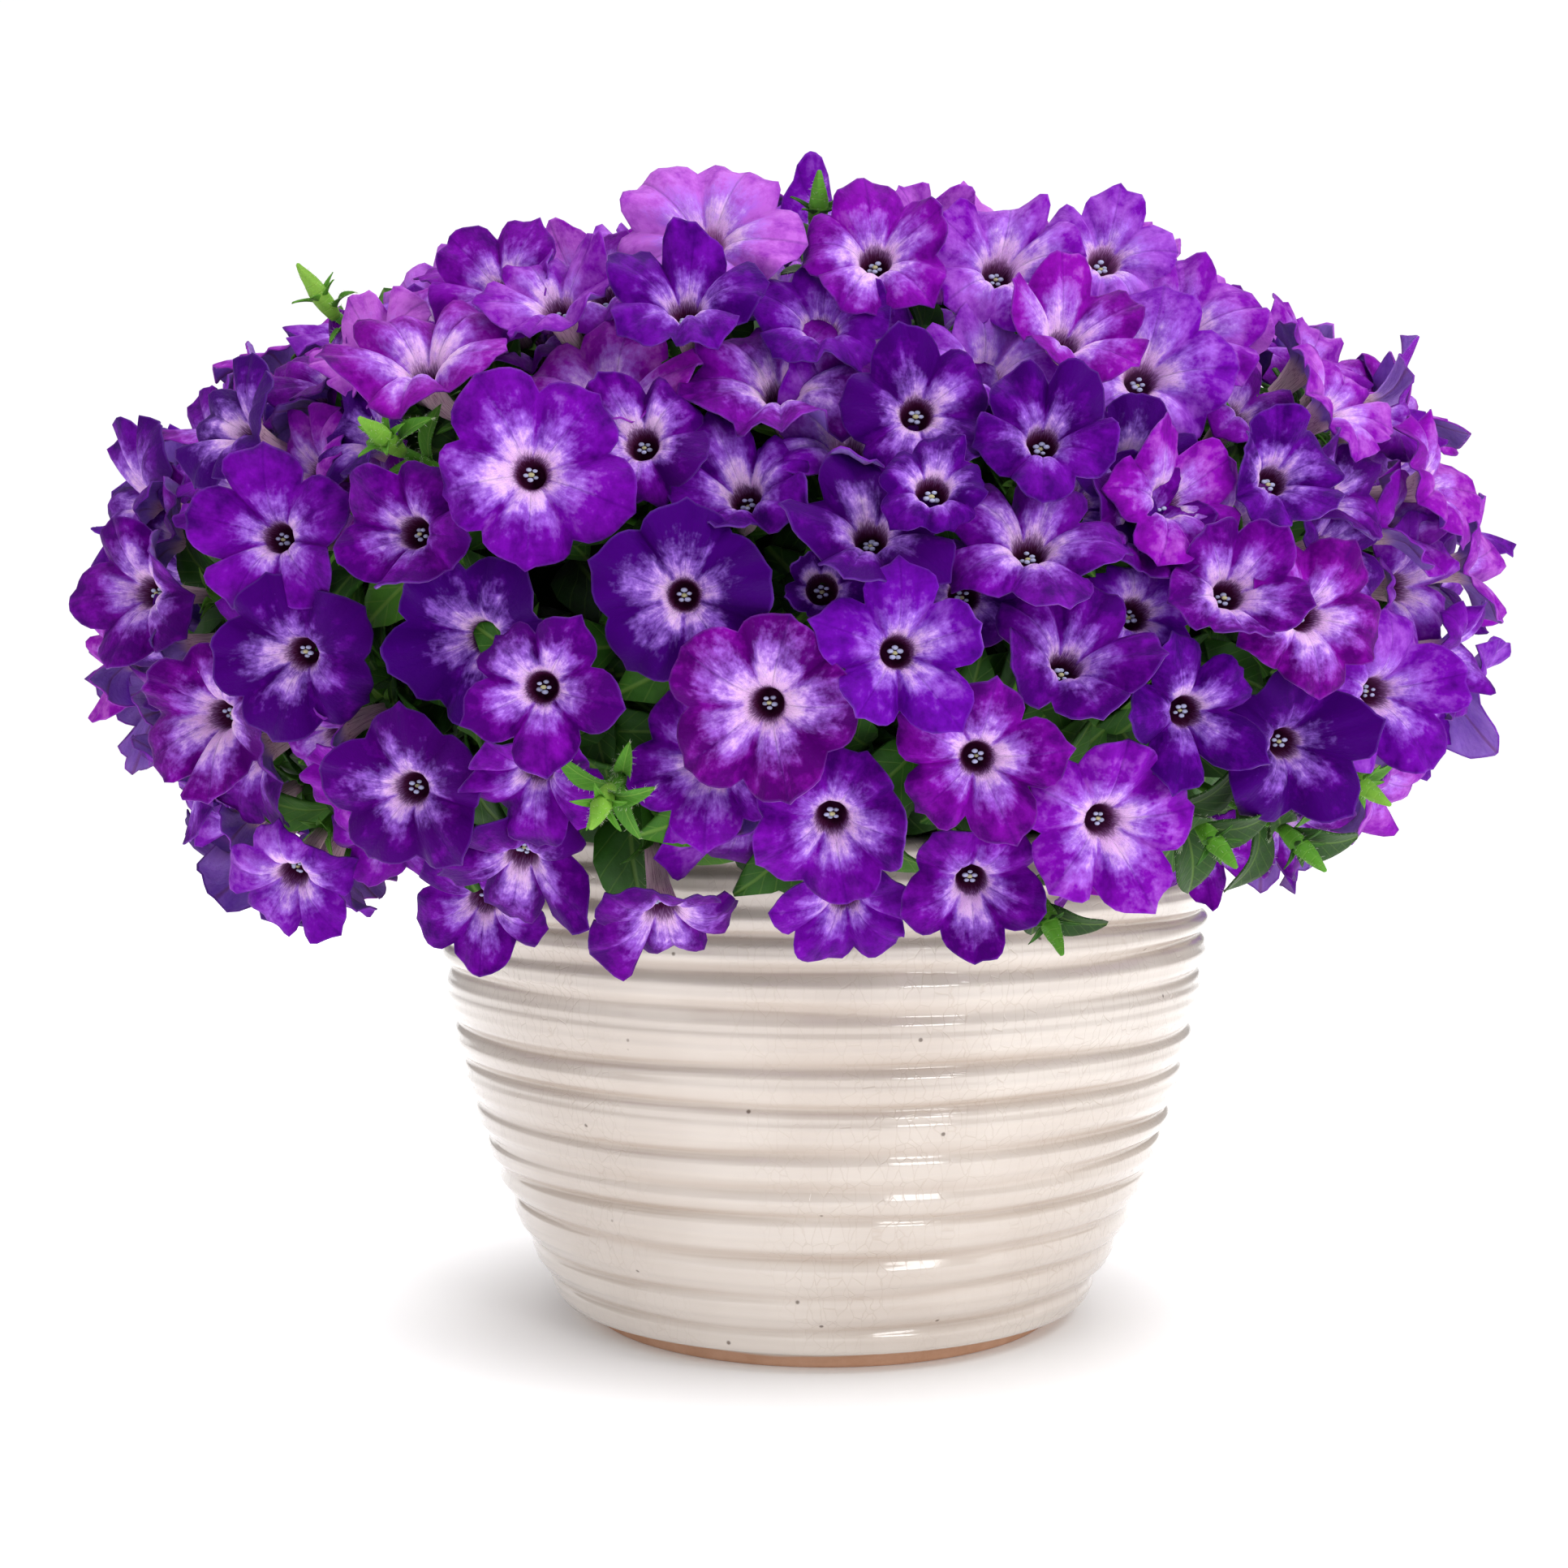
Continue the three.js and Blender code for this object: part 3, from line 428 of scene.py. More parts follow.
@dataclass
class BloomField:
    """Places every bloom by the rule that places the model's: the front as listed, the rest by filling."""

    spacing: float = 43.5
    wide: tuple[float, float] = (50, 58)
    lean: float = 0.7
    lowest: float = 162
    tries: int = 260
    seed: int = 20717
    level_step: float = 7
    levels: int = 5
    level_cost: float = 3
    most_lean: float = math.radians(52)
    wave: float = 1.5
    sprays: int = 46
    rounds: int = 14
    high: float = 330
    high_tones: tuple[Tone, ...] = (LILAC, LIGHT, MAGENTA, VIOLET, PURPLE)
    low_tones: tuple[Tone, ...] = (DARK, VIOLET, PURPLE, BLUE, MAGENTA, LIGHT)
    pointed: float = 0.3
    under_spacing: float = 30
    under_wide: tuple[float, float] = (42, 52)
    under_lean: float = 1.4
    spread_rounds: int = 16
    spread_least: float = 4
    spread_reach: tuple[float, float] = (-11, 2)
    spread_steps: tuple[float, float] = (0.3, -0.7)
    usual: float = 55
    skyline: tuple[float, float, float] = (210, 3.0, 0.0049)
    standing: float = 0.85
    most_sag: float = 24
    most_trim: float = 8
    top: tuple[float, float] = (320, 395)
    top_turn: float = 0.6
    hem: tuple[float, float, float] = (60, 60, 200)
    hem_tuck: tuple[float, float, float] = (-10, 8, 15)
    hem_shrink: float = 0.8

    def facing(self, point: Array, spot: Spot) -> Array:
        """The way that a listed bloom faces: its turn from the viewer, or else outwards."""
        if spot.up is None:
            return MOUND.outward(point)
        to_viewer = VIEW.eye() - point
        azimuth = math.atan2(to_viewer[1], to_viewer[0]) + math.radians(spot.right)
        elevation = math.atan2(to_viewer[2], math.hypot(*to_viewer[:2])) + math.radians(spot.up)
        level = math.cos(elevation)
        return np.array([level * math.cos(azimuth), level * math.sin(azimuth), math.sin(elevation)])

    def held_near(self, axis: Array, guide: Array) -> Array:
        """An axis, turned back towards a guide where it leans further from it than the limit."""
        if math.acos(float(np.clip(np.dot(axis, guide), -1, 1))) <= self.most_lean:
            return axis
        return turned(guide, unit(np.cross(guide, axis)), self.most_lean)

    def roomiest(self, ways: Array, inset: float, taken: Array) -> tuple[float, Array, Array]:
        """Finds the place that is furthest from all that is taken.

        Args:
            ways: The directions to try, on the unit sphere.
            inset: How deep in the mound the places lie.
            taken: The points to keep away from.

        Returns:
            The best place's distance from them, its point and its direction.
        """
        tries = MOUND.point(ways, inset)
        rooms = np.linalg.norm(tries[:, None] - taken[None], axis=2).min(axis=1)
        rooms[tries[:, 2] < self.lowest] = 0
        best = int(rooms.argmax())
        return rooms[best], tries[best], ways[best]

    def looks(self, point: Array, tints: Draws) -> tuple[tuple[float, float, float], Form]:
        """A colouring and a form for a bloom that isn't listed: the higher, the lighter."""
        tones = self.high_tones if point[2] > self.high else self.low_tones
        form = POINTED if tints.random() < self.pointed else OPEN
        return tones[tints.integers(len(tones))].value, form

    def fill(self, taken: list[Array]) -> list[BloomPlace]:
        """Fills what the front's places leave bare.

        Args:
            taken: The points of all that is listed.

        Returns:
            The added blooms, each the one of many tries that is furthest from all the others.
        """
        random = SeededRandom(self.seed)
        tints = np.random.default_rng(self.seed)
        points, added = np.array(taken), []
        while True:
            draws = np.array([random() for _ in range(2 * self.tries)])
            ways = on_sphere(TURN * draws[1::2], 2 * draws[0::2] - 1)
            room, point, way = self.roomiest(ways, MOUND.inset, points)
            if room < self.spacing:
                return added
            wide = self.wide[0] + (self.wide[1] - self.wide[0]) * random()
            lean = (np.array([random() for _ in range(3)]) - 0.5) * self.lean
            added.append(BloomPlace(point, wide, *self.looks(point, tints), direction=way, lean=lean))
            points = np.vstack([points, point])

    def enrich(self, placed: list[BloomPlace], shoot_points: list[Array]) -> list[BloomPlace]:
        """Adds younger blooms below the others, wherever the mound still shows a gap.

        Args:
            placed: The blooms that the model has too.
            shoot_points: Where the leafy shoots end, which stay free.

        Returns:
            The added blooms, settled where they cross the others least.
        """
        draws = np.random.default_rng(self.seed)
        taken = np.array([bloom.centre for bloom in placed] + shoot_points)
        added: list[BloomPlace] = []
        while True:
            ways = unit(draws.normal(0, 1, (self.tries, 3)))
            room, point, way = self.roomiest(ways, MOUND.inset + 2 * self.level_step, taken)
            if room < self.under_spacing:
                return added
            tone, form = self.looks(point, draws)
            lean = draws.uniform(-0.5, 0.5, 3) * self.lean * self.under_lean
            wide = draws.uniform(*self.under_wide)
            bloom = BloomPlace(point, wide, tone, form, direction=way, lean=lean)
            self.settle(bloom, range(1, self.levels + 1), 0, placed + added)
            bloom.spin = draws.uniform(0, TURN)
            bloom.waves = draws.uniform(-self.wave, self.wave, 10)
            bloom.spray = min(placed, key=lambda other: np.linalg.norm(other.centre - bloom.centre)).spray
            added.append(bloom)
            taken = np.vstack([taken, point])

    def at_level(self, bloom: BloomPlace, level: int) -> tuple[Array, Array]:
        """The centre and the axis that a bloom has at a level."""
        inset = MOUND.inset + level * self.level_step
        direction = MOUND.seen(bloom.spot, inset) if bloom.spot else bloom.direction
        centre = MOUND.point(direction, inset)
        outward = MOUND.outward(centre)
        own = self.facing(centre, bloom.spot) if bloom.spot else unit(outward + bloom.lean)
        return centre, self.held_near(own, outward)

    def settle(self, bloom: BloomPlace, levels: range, cost: float, others: list[BloomPlace]) -> None:
        """Settles a bloom at the level where it crosses others least.

        Args:
            bloom: The bloom, which is given its centre and axis.
            levels: The levels to choose from.
            cost: What each level down counts, in millimetres of crossing.
            others: The blooms that are settled already.
        """
        choices = [self.at_level(bloom, level) for level in levels]
        costs = [
            level * cost + sum(crossing((*choice, bloom.wide), other.disc()) for other in others)
            for level, choice in zip(levels, choices)
        ]
        bloom.centre, bloom.axis = choices[int(np.argmin(costs))]

    def place(self, shoot_points: list[Array]) -> list[BloomPlace]:
        """Places the model's blooms.

        Args:
            shoot_points: Where the leafy shoots end, which the fill keeps free.

        Returns:
            The blooms, each with its centre, axis, spin and rim waves.
        """
        front = []
        for spot in FRONT:
            point = MOUND.point(MOUND.seen(spot, MOUND.inset), MOUND.inset)
            front.append(BloomPlace(point, spot.wide, spot.tone.value, spot.form, spot))
        placed: list[BloomPlace] = []
        for bloom in (*front, *self.fill([bloom.point for bloom in front] + shoot_points)):
            self.settle(bloom, range(self.levels), self.level_cost, placed)
            placed.append(bloom)
        random = SeededRandom(self.seed + 1)
        for bloom in placed:
            bloom.spin = TURN * random()
            bloom.waves = np.array([(2 * random() - 1) * self.wave for _ in range(10)])
        return placed

    def ease(self, blooms: list[BloomPlace]) -> None:
        """Keeps blooms within the picture's outline: lowers the highest, and tucks in the right hem's."""
        low, high = self.top
        row, row_step, row_fall = self.skyline
        for bloom in blooms:
            centre = bloom.centre
            if bloom.spot is not None and bloom.spot.up is not None:
                bloom.centre = centre + MOUND.outward(centre) * bloom.spot.lift
                continue
            share = float(np.clip((centre[2] - low) / (high - low), 0, 1))
            bloom.axis = unit(bloom.axis - Y * self.top_turn * share)
            radius = bloom.wide / 2 * FULLNESS * self.standing
            stands = centre[2] + radius * math.sqrt(max(0.0, 1 - bloom.axis[2] ** 2))
            limit_row = row + row_step * (self.usual - bloom.wide) + row_fall * centre[0] ** 2
            over = max(0.0, stands - VIEW.height_seen(limit_row, min(centre[1], 0.0)))
            sag = min(self.most_sag, over)
            bloom.wide -= min(self.most_trim, over - sag)
            bloom.centre = x, y, z = centre - Z * sag
            if bloom.spot is None and x > self.hem[0] and y < self.hem[1] and z < self.hem[2]:
                bloom.wide *= self.hem_shrink
                bloom.centre = bloom.centre + np.array(self.hem_tuck)

    def spread(self, blooms: list[BloomPlace]) -> None:
        """Moves blooms that would cut through each other apart, the lower one in and the upper one out."""
        moved = np.zeros(len(blooms))
        for _ in range(self.spread_rounds):
            centres = np.array([bloom.centre for bloom in blooms])
            discs = [bloom.disc(FULLNESS) for bloom in blooms]
            for i, centre in enumerate(centres):
                close = np.linalg.norm(centres[i + 1 :] - centre, axis=1) < self.wide[1]
                for j in np.flatnonzero(close) + i + 1:
                    if crossing(discs[i], discs[j]) < self.spread_least:
                        continue
                    outward = MOUND.outward((centre + centres[j]) / 2)
                    above = np.dot(centres[j] - centre, outward) > 0
                    for k, way in zip((j, i) if above else (i, j), self.spread_steps):
                        if self.spread_reach[0] < moved[k] + way < self.spread_reach[1]:
                            blooms[k].centre = blooms[k].centre + outward * way
                            moved[k] += way

    def gather(self, blooms: list[BloomPlace]) -> list[Array]:
        """Gathers the blooms into sprays of near neighbours.

        Args:
            blooms: All the blooms. Each is given the number of its spray.

        Returns:
            The knobs that the sprays start from.
        """
        count = len(blooms)
        points = np.array([bloom.point for bloom in blooms])
        middles = np.array([points[int((k + 0.5) * count / self.sprays)] for k in range(self.sprays)])
        for _ in range(self.rounds):
            own = np.linalg.norm(points[:, None] - middles[None], axis=2).argmin(axis=1)
            for k in range(self.sprays):
                if (own == k).any():
                    middles[k] = points[own == k].mean(axis=0)
        knobs = [MOUND.seat(middle) for middle in middles]
        for bloom, spray in zip(blooms, own):
            bloom.spray = int(spray)
            bloom.axis = self.held_near(bloom.axis, unit(bloom.centre - knobs[spray]))
        return knobs


# ---- Making meshes --------------------------------------------------------------------------------


@dataclass
class Shape:
    """A skin as plain arrays, with a value of each mark for every point, or one for all."""

    points: Array
    quads: Array
    triangles: Array
    marks: dict[str, Array | tuple[float, float, float]]

    def faced_out(self) -> Shape:
        """The same closed skin with its faces turned outwards."""
        corners = np.vstack([self.triangles, self.quads[:, [0, 1, 2]], self.quads[:, [0, 2, 3]]])
        a, b, c = (self.points[corners[:, k]] for k in range(3))
        if np.einsum("ij,ij->i", a, np.cross(b, c)).sum() < 0:
            self.quads, self.triangles = self.quads[:, ::-1], self.triangles[:, ::-1]
        return self


def lofted(rings: list[Array], first: Array, last: Array, **marks: Array | tuple[float, ...]) -> Shape:
    """A skin over rings of equally many points, closed by a pole at each end.

    Args:
        rings: The rings, one after another.
        first: The pole before the first ring.
        last: The pole after the last ring.
        marks: A value of each mark for every point, ring by ring, and then for both poles.

    Returns:
        The closed skin.
    """
    around, count = len(rings[0]), len(rings) * len(rings[0])
    i = np.arange(around)
    j = (i + 1) % around
    k = np.arange(len(rings) - 1)[:, None] * around
    quads = np.stack([k + i, k + j, k + around + j, k + around + i], axis=-1).reshape(-1, 4)
    start = np.stack([np.full(around, count), j, i], axis=-1)
    end = np.stack([count - around + i, count - around + j, np.full(around, count + 1)], axis=-1)
    return Shape(np.vstack([*rings, first, last]), quads, np.vstack([start, end]), marks).faced_out()


def tube(path: Array, radii: list[float], around: int, light: float) -> Shape:
    """A closed round stem along a path.

    Args:
        path: The path's points.
        radii: The radius at each of them.
        around: How many sides it has.
        light: Its lightness, from dark 0 to yellow-green 1.

    Returns:
        The stem.
    """
    ahead = unit(np.gradient(path, axis=0))
    side, rings = across_of(ahead[0]), []
    for point, direction, radius in zip(path, ahead, radii):
        side = unit(side - direction * np.dot(side, direction))
        ring = circle(np.arange(around) * TURN / around, side, np.cross(direction, side))
        rings.append(point + ring * radius)
    return lofted(rings, path[0], path[-1], place=STEM_PLACE, tone=(light, 0.0, 0.0))


def taken_apart(model: bpy.types.Object) -> tuple[Array, list[Array]]:
    """A model's points, and its faces with four and with three corners. The model is removed."""
    mesh = model.data
    points = np.array([vertex.co[:] for vertex in mesh.vertices])
    faces = [list(polygon.vertices) for polygon in mesh.polygons]
    bpy.data.objects.remove(model)
    bpy.data.meshes.remove(mesh)
    return points, [np.array([f for f in faces if len(f) == n], int).reshape(-1, n) for n in (4, 3)]


def ball(subdivisions: int, form: tuple[float, float, float]) -> tuple[Array, list[Array]]:
    """A small ball pressed into a form, taken apart."""
    bpy.ops.object.select_all(action="DESELECT")
    bpy.ops.mesh.primitive_ico_sphere_add(subdivisions=subdivisions, radius=1.0)
    bpy.ops.object.mode_set(mode="EDIT")
    bpy.ops.mesh.select_all(action="SELECT")
    bpy.ops.transform.resize(value=form)
    bpy.ops.object.mode_set(mode="OBJECT")
    return taken_apart(bpy.context.object)


def dressed(
    piece: bpy.types.Object, finishes: list[Material], marks: dict[str, Array]
) -> bpy.types.Object:
    """Gives a piece its finishes, its marks, and the root body to ride on."""
    for finish in finishes:
        piece.data.materials.append(finish)
    for name, rows in marks.items():
        layer = piece.data.attributes.new(name, "FLOAT_VECTOR", "POINT")
        layer.data.foreach_set("vector", rows.astype(np.float32).ravel())
    piece.data.shade_smooth()
    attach(piece, ROOT)
    LOG.info("%s: %d faces", piece.name, len(piece.data.polygons))
    return piece


class Sketch:
    """Collects the shapes of one piece and makes its mesh."""

    def __init__(self) -> None:
        """Starts with nothing."""
        self.shapes: list[tuple[Shape, Material]] = []

    def add(self, shape: Shape, finish: Material) -> None:
        """Adds a shape in its finish."""
        self.shapes.append((shape, finish))

    def piece(self, name: str, slot: str) -> bpy.types.Object:
        """Makes the piece.

        Args:
            name: The piece's name.
            slot: The record's material slot that it belongs to. Not used.

        Returns:
            The object, riding on the root body.
        """
        finishes = list(dict.fromkeys(finish for _, finish in self.shapes))
        faces, kinds, start = [], [], 0
        for shape, finish in self.shapes:
            for group in (shape.quads, shape.triangles):
                faces += (group + start).tolist()
                kinds += [finishes.index(finish)] * len(group)
            start += len(shape.points)
        mesh = bpy.data.meshes.new(name)
        mesh.from_pydata((np.vstack([shape.points for shape, _ in self.shapes]) * MM).tolist(), [], faces)
        mesh.polygons.foreach_set("material_index", np.array(kinds, dtype=np.int32))
        marks = {}
        for mark_name in ("spoke", "place", "tone"):
            rows = [np.broadcast_to(s.marks.get(mark_name, 0.0), s.points.shape) for s, _ in self.shapes]
            marks[mark_name] = np.vstack(rows)
        piece = bpy.data.objects.new(name, mesh)
        bpy.context.scene.collection.objects.link(piece)
        return dressed(piece, finishes, marks)


# ---- Finishes -------------------------------------------------------------------------------------


class Wire:
    """An output of a shader node. What is worked out from it adds a node to the same tree."""

    def __init__(self, socket: bpy.types.NodeSocket) -> None:
        """Holds the output."""
        self.socket = socket

    def into(self, kind: str, feeds: Feeds, output: int = 0, **settings: object) -> Wire:
        """The output of a new node."""
        return Wire(add_node(self.socket.id_data, kind, feeds, **settings).outputs[output])

    def maths(self, operation: str, *others: Wire | float) -> Wire:
        """The result of an operation on this number and others."""
        return self.into("ShaderNodeMath", (self, *others), operation=operation)

    def __add__(self, other: Wire | float) -> Wire:
        """A sum."""
        return self.maths("ADD", other)

    def __sub__(self, other: Wire | float) -> Wire:
        """A difference."""
        return self.maths("SUBTRACT", other)

    def __rsub__(self, other: float) -> Wire:
        """A difference from a number."""
        return self * -1.0 + other

    def __mul__(self, other: Wire | float) -> Wire:
        """A product."""
        return self.maths("MULTIPLY", other)

    def parts(self) -> list[Wire]:
        """The three numbers of this vector."""
        return [Wire(out) for out in self.into("ShaderNodeSeparateXYZ", (self,)).socket.node.outputs]

    def vector(self, operation: str, other: Wire | tuple[float, float, float]) -> Wire:
        """The result of an operation on this vector and another."""
        return self.into("ShaderNodeVectorMath", (self, other), operation=operation)

    def on(self, axis: Array) -> Wire:
        """A vector as long as this number, along an axis."""
        return self.into("ShaderNodeCombineXYZ", tuple(self if part else 0.0 for part in axis))

    def noise(self, scale: Wire | float, detail: float = 2.0, rough: float = 0.5) -> Wire:
        """Soft noise round one half, by this vector."""
        feeds = {"Vector": self, "Scale": scale, "Detail": detail, "Roughness": rough}
        return self.into("ShaderNodeTexNoise", feeds)

    def step(self, low: Wire | float, high: Wire | float) -> Wire:
        """A smooth step from 0 where this number is low to 1 where it is high."""
        return self.into("ShaderNodeMapRange", (self, low, high), interpolation_type="SMOOTHSTEP")

    def mix(self, a: Wire | str, b: Wire | str) -> Wire:
        """A mix of two colours, with this share of the second."""
        return self.into("ShaderNodeMix", {0: self, 6: a, 7: b}, 2, data_type="RGBA")

    def ramp(self, colours: tuple[str, ...]) -> Wire:
        """A row of colours, evenly spaced over this number from 0 to 1."""
        found = self.into("ShaderNodeValToRGB", (self,))
        stops = found.socket.node.color_ramp.elements
        for k, code in enumerate(colours):
            stop = stops[k] if k < 2 else stops.new(k / (len(colours) - 1))
            stop.position = k / (len(colours) - 1)
            stop.color = paint(code)
        return found

    def bump(self, strength: float, distance: float = 0.0008) -> Wire:
        """A normal that follows this height."""
        feeds = {"Strength": strength, "Distance": distance, "Height": self}
        return self.into("ShaderNodeBump", feeds)


Feed = Wire | float | str | tuple[float, ...]
Feeds = dict[int | str, Feed] | tuple[Feed, ...]


def feed(socket: bpy.types.NodeSocket, value: Feed) -> None:
    """Links a wire to an input, or sets a value there. Six digits stand for a colour."""
    if isinstance(value, Wire):
        socket.id_data.links.new(value.socket, socket)
    else:
        socket.default_value = paint(value) if isinstance(value, str) else value


def add_node(tree: Tree, kind: str, feeds: Feeds = (), **settings: object) -> bpy.types.Node:
    """Adds a node with its settings, and feeds its inputs, in order or by name or number."""
    node = tree.nodes.new(kind)
    for name, value in settings.items():
        setattr(node, name, value)
    for key, value in feeds.items() if isinstance(feeds, dict) else enumerate(feeds):
        feed(node.inputs[key], value)
    return node


def mark(tree: Tree, name: str) -> Wire:
    """A mark of the mesh as a vector."""
    return Wire(add_node(tree, "ShaderNodeAttribute", attribute_name=name).outputs["Vector"])


def object_place(tree: Tree) -> Wire:
    """The place on the object."""
    return Wire(add_node(tree, "ShaderNodeTexCoord").outputs["Object"])


def mottle_group() -> Tree:
    """Makes the shader group that all finishes share: soft clouds and fine grain, round one half."""
    tree = bpy.data.node_groups.new("mottle", "ShaderNodeTree")
    for name, way in (("Scale", "INPUT"), ("Cloud", "OUTPUT"), ("Grain", "OUTPUT")):
        tree.interface.new_socket(name, in_out=way, socket_type="NodeSocketFloat")
    scale, place = Wire(add_node(tree, "NodeGroupInput").outputs["Scale"]), object_place(tree)
    clouds = {"Cloud": place.noise(scale, 3.0), "Grain": place.noise(scale * 7.0, 3.0, 0.65)}
    add_node(tree, "NodeGroupOutput", clouds)
    return tree


def mottle(tree: Tree, scale: float) -> list[Wire]:
    """The cloud and the grain of the shared group, at a scale."""
    group = bpy.data.node_groups.get("mottle") or mottle_group()
    return [Wire(out) for out in add_node(tree, "ShaderNodeGroup", (scale,), node_tree=group).outputs]


@dataclass(frozen=True)
class Finish:
    """What every finish has: a material with one Principled shader."""

    name: str
    specular: float = 0.35

    def build(self) -> Material:
        """Makes the material and feeds its shader."""
        material = bpy.data.materials.new(self.name)
        material.use_nodes = True
        tree = material.node_tree
        feeds = {"Specular IOR Level": self.specular, **self.feeds(tree)}
        for name, value in feeds.items():
            feed(tree.nodes["Principled BSDF"].inputs[name], value)
        return material

    def feeds(self, tree: Tree) -> Feeds:
        """What feeds the shader's inputs. Each finish has its own."""
        raise NotImplementedError


@dataclass(frozen=True)
class PetalFinish(Finish):
    """Velvety violet petals with a ragged white star, veins, a dark throat and a pale back."""

    name: str = "petal_velvet"
    specular: float = 0.3
    blues: tuple[str, ...] = ("2e005e", "60089a", "9a56cc")
    magentas: tuple[str, ...] = ("4c0062", "8a0ca2", "c068c8")
    backs: tuple[str, ...] = ("7c4cbc", "bd98e2")
    star_warm: str = "e8c4ea"
    star_cool: str = "a272de"
    throat: str = "4c1638"
    throat_edge: str = "5a1a5e"
    pale_throat: str = "a86c9a"
    rim: str = "7c50b8"
    tube: str = "d3b2bd"
    tube_vein: str = "7a4560"
    velvet: str = "a438ff"

    def feeds(self, tree: Tree) -> Feeds:
        """Paints front and back, by the petal's place marks."""
        reach, fold, side = mark(tree, "place").parts()
        spoke = mark(tree, "spoke").vector("ADD", (reach * 0.55).on(Z))
        hair = spoke.noise(20.0)
        cloud, grain = mottle(tree, 130.0)
        front = self.front(reach, fold, spoke.noise(4.2, 4.0, 0.6) - 0.5, hair - 0.5, cloud - 0.5, grain)
        return {
            "Base Color": side.mix(front, self.back(reach, fold, hair, cloud)),
            "Normal": (hair * 0.8 + grain * 0.5).bump(0.4),
            "Roughness": grain * 0.3 + 0.52,
            "Specular Tint": self.velvet,
            "Subsurface Weight": 0.35,
            "Subsurface Radius": (1.0, 0.45, 1.0),
            "Subsurface Scale": 0.0012,
        }

    def front(self, reach: Wire, fold: Wire, streak: Wire, hair: Wire, cloud: Wire, grain: Wire) -> Wire:
        """The front's colour.

        Args:
            reach: From the throat 0 to the rim 1.
            fold: From a lobe's midrib 0 to the seam between lobes 1.
            streak: Broad streaks round zero.
            hair: Fine streaks round zero.
            cloud: Soft clouds round zero.
            grain: Fine grain round one half.

        Returns:
            The colour.
        """
        hue, light, star = mark(reach.socket.id_data, "tone").parts()
        patch = object_place(reach.socket.id_data).noise(330.0, 3.0, 0.65) - 0.5
        lit = light + cloud + patch * 0.7 + streak * 0.5 + (0.62 - reach) * 0.5
        base = hue.mix(lit.ramp(self.blues), lit.ramp(self.magentas))
        ragged = star + streak * 0.5 + patch * 0.55 + cloud * 0.6 + hair * 0.2
        edge = ragged - fold.step(0.7, 1.0) * 0.16 - reach
        shine = (edge + (grain - 0.5) * 0.12).step(-0.24, 0.28)
        starred = (shine * 0.9).mix(base, edge.step(0.0, 0.42).mix(self.star_cool, self.star_warm))
        vein = hair.maths("ABSOLUTE").step(0.03, 0.0) * reach.step(0.8, 0.1)
        veined = (vein * 0.42).mix(starred, self.throat_edge)
        rib = fold.step(0.05, 0.0) * reach.step(0.02, 0.3)
        ribbed = (rib * 0.3).mix(veined, self.blues[0])
        edged = (reach.step(0.975, 0.995) * 0.12).mix(ribbed, self.rim)
        near = reach + hair * 0.34
        paleness = light.step(0.5, 1.0) * 0.85
        ring = paleness.mix(self.throat_edge, self.pale_throat)
        halo = (near.step(0.19, -0.02) * 0.85).mix(edged, ring)
        return near.step(0.03, -0.12).mix(halo, paleness.mix(self.throat, ring))

    def back(self, reach: Wire, fold: Wire, hair: Wire, cloud: Wire) -> Wire:
        """The back's colour: pale matt lilac, veined, and pinkish towards the tube."""
        pale = (hair * 0.6 + cloud * 0.45).ramp(self.backs)
        ribbed = (fold.step(0.09, 0.0) * 0.5).mix(pale, self.tube_vein)
        rosy = reach.step(0.3, -0.05).mix(ribbed, self.tube)
        vein = hair.step(0.52, 0.62) * reach.step(0.25, -0.1)
        return (vein * 0.65).mix(rosy, self.tube_vein)


@dataclass(frozen=True)
class LeafFinish(Finish):
    """Soft green leaves: a paler midrib and side veins, and a mottle between them."""

    name: str = "petunia_leaf"
    specular: float = 0.22
    greens: tuple[str, ...] = ("10270a", "2b5f12", "579428", "9cc44a")
    vein: str = "93b950"
    down: str = "dfeec0"

    def feeds(self, tree: Tree) -> Feeds:
        """Colours by the tone mark's lightness, which is the leaf's own tone and, on the crown, painted
        shade as well; with veins by place along and across.
        """
        along, across, _ = mark(tree, "place").parts()
        light = mark(tree, "tone").parts()[0]
        cloud, grain = mottle(tree, 60.0)
        base = (light + (cloud - 0.5) * 0.35 + (grain - 0.5) * 0.14).ramp(self.greens)
        out = across.maths("ABSOLUTE")
        side_vein = ((along - out * 0.32) * 44.0).maths("SINE").step(0.9, 1.0)
        lines = out.step(0.09, 0.02).maths("MAXIMUM", side_vein * 0.5)
        return {
            "Base Color": (lines * (light * 0.4 + 0.12)).mix(base, self.vein),
            "Normal": (grain - lines * 0.8).bump(0.35),
            "Roughness": grain * 0.25 + 0.42,
            "Sheen Weight": 0.05,
            "Sheen Tint": self.down,
        }


@dataclass(frozen=True)
class PollenFinish(Finish):
    """Anthers with pale, powdery blue-grey pollen, and a yellow-green stigma, by the tone mark."""

    name: str = "pollen"
    anther: str = "9ca2c8"
    stigma: str = "a9a34c"
    powder: str = "e6e6f4"

    def feeds(self, tree: Tree) -> Feeds:
        """Mixes the two colours, with a powdery grain."""
        grain = mottle(tree, 220.0)[1]
        colour = mark(tree, "tone").parts()[0].mix(self.anther, self.stigma)
        return {"Base Color": (grain * 0.4).mix(colour, self.powder), "Roughness": grain * 0.3 + 0.6}


@dataclass(frozen=True)
class HairFinish(Finish):
    """Fine, pale plant hairs."""

    name: str = "plant_hair"
    root: str = "c5d3a2"
    tip: str = "f4f4ea"

    def feeds(self, tree: Tree) -> Feeds:
        """Pale green to white along the hair."""
        along = mark(tree, "place").parts()[0]
        return {"Base Color": along.mix(self.root, self.tip), "Roughness": along * 0.1 + 0.45}


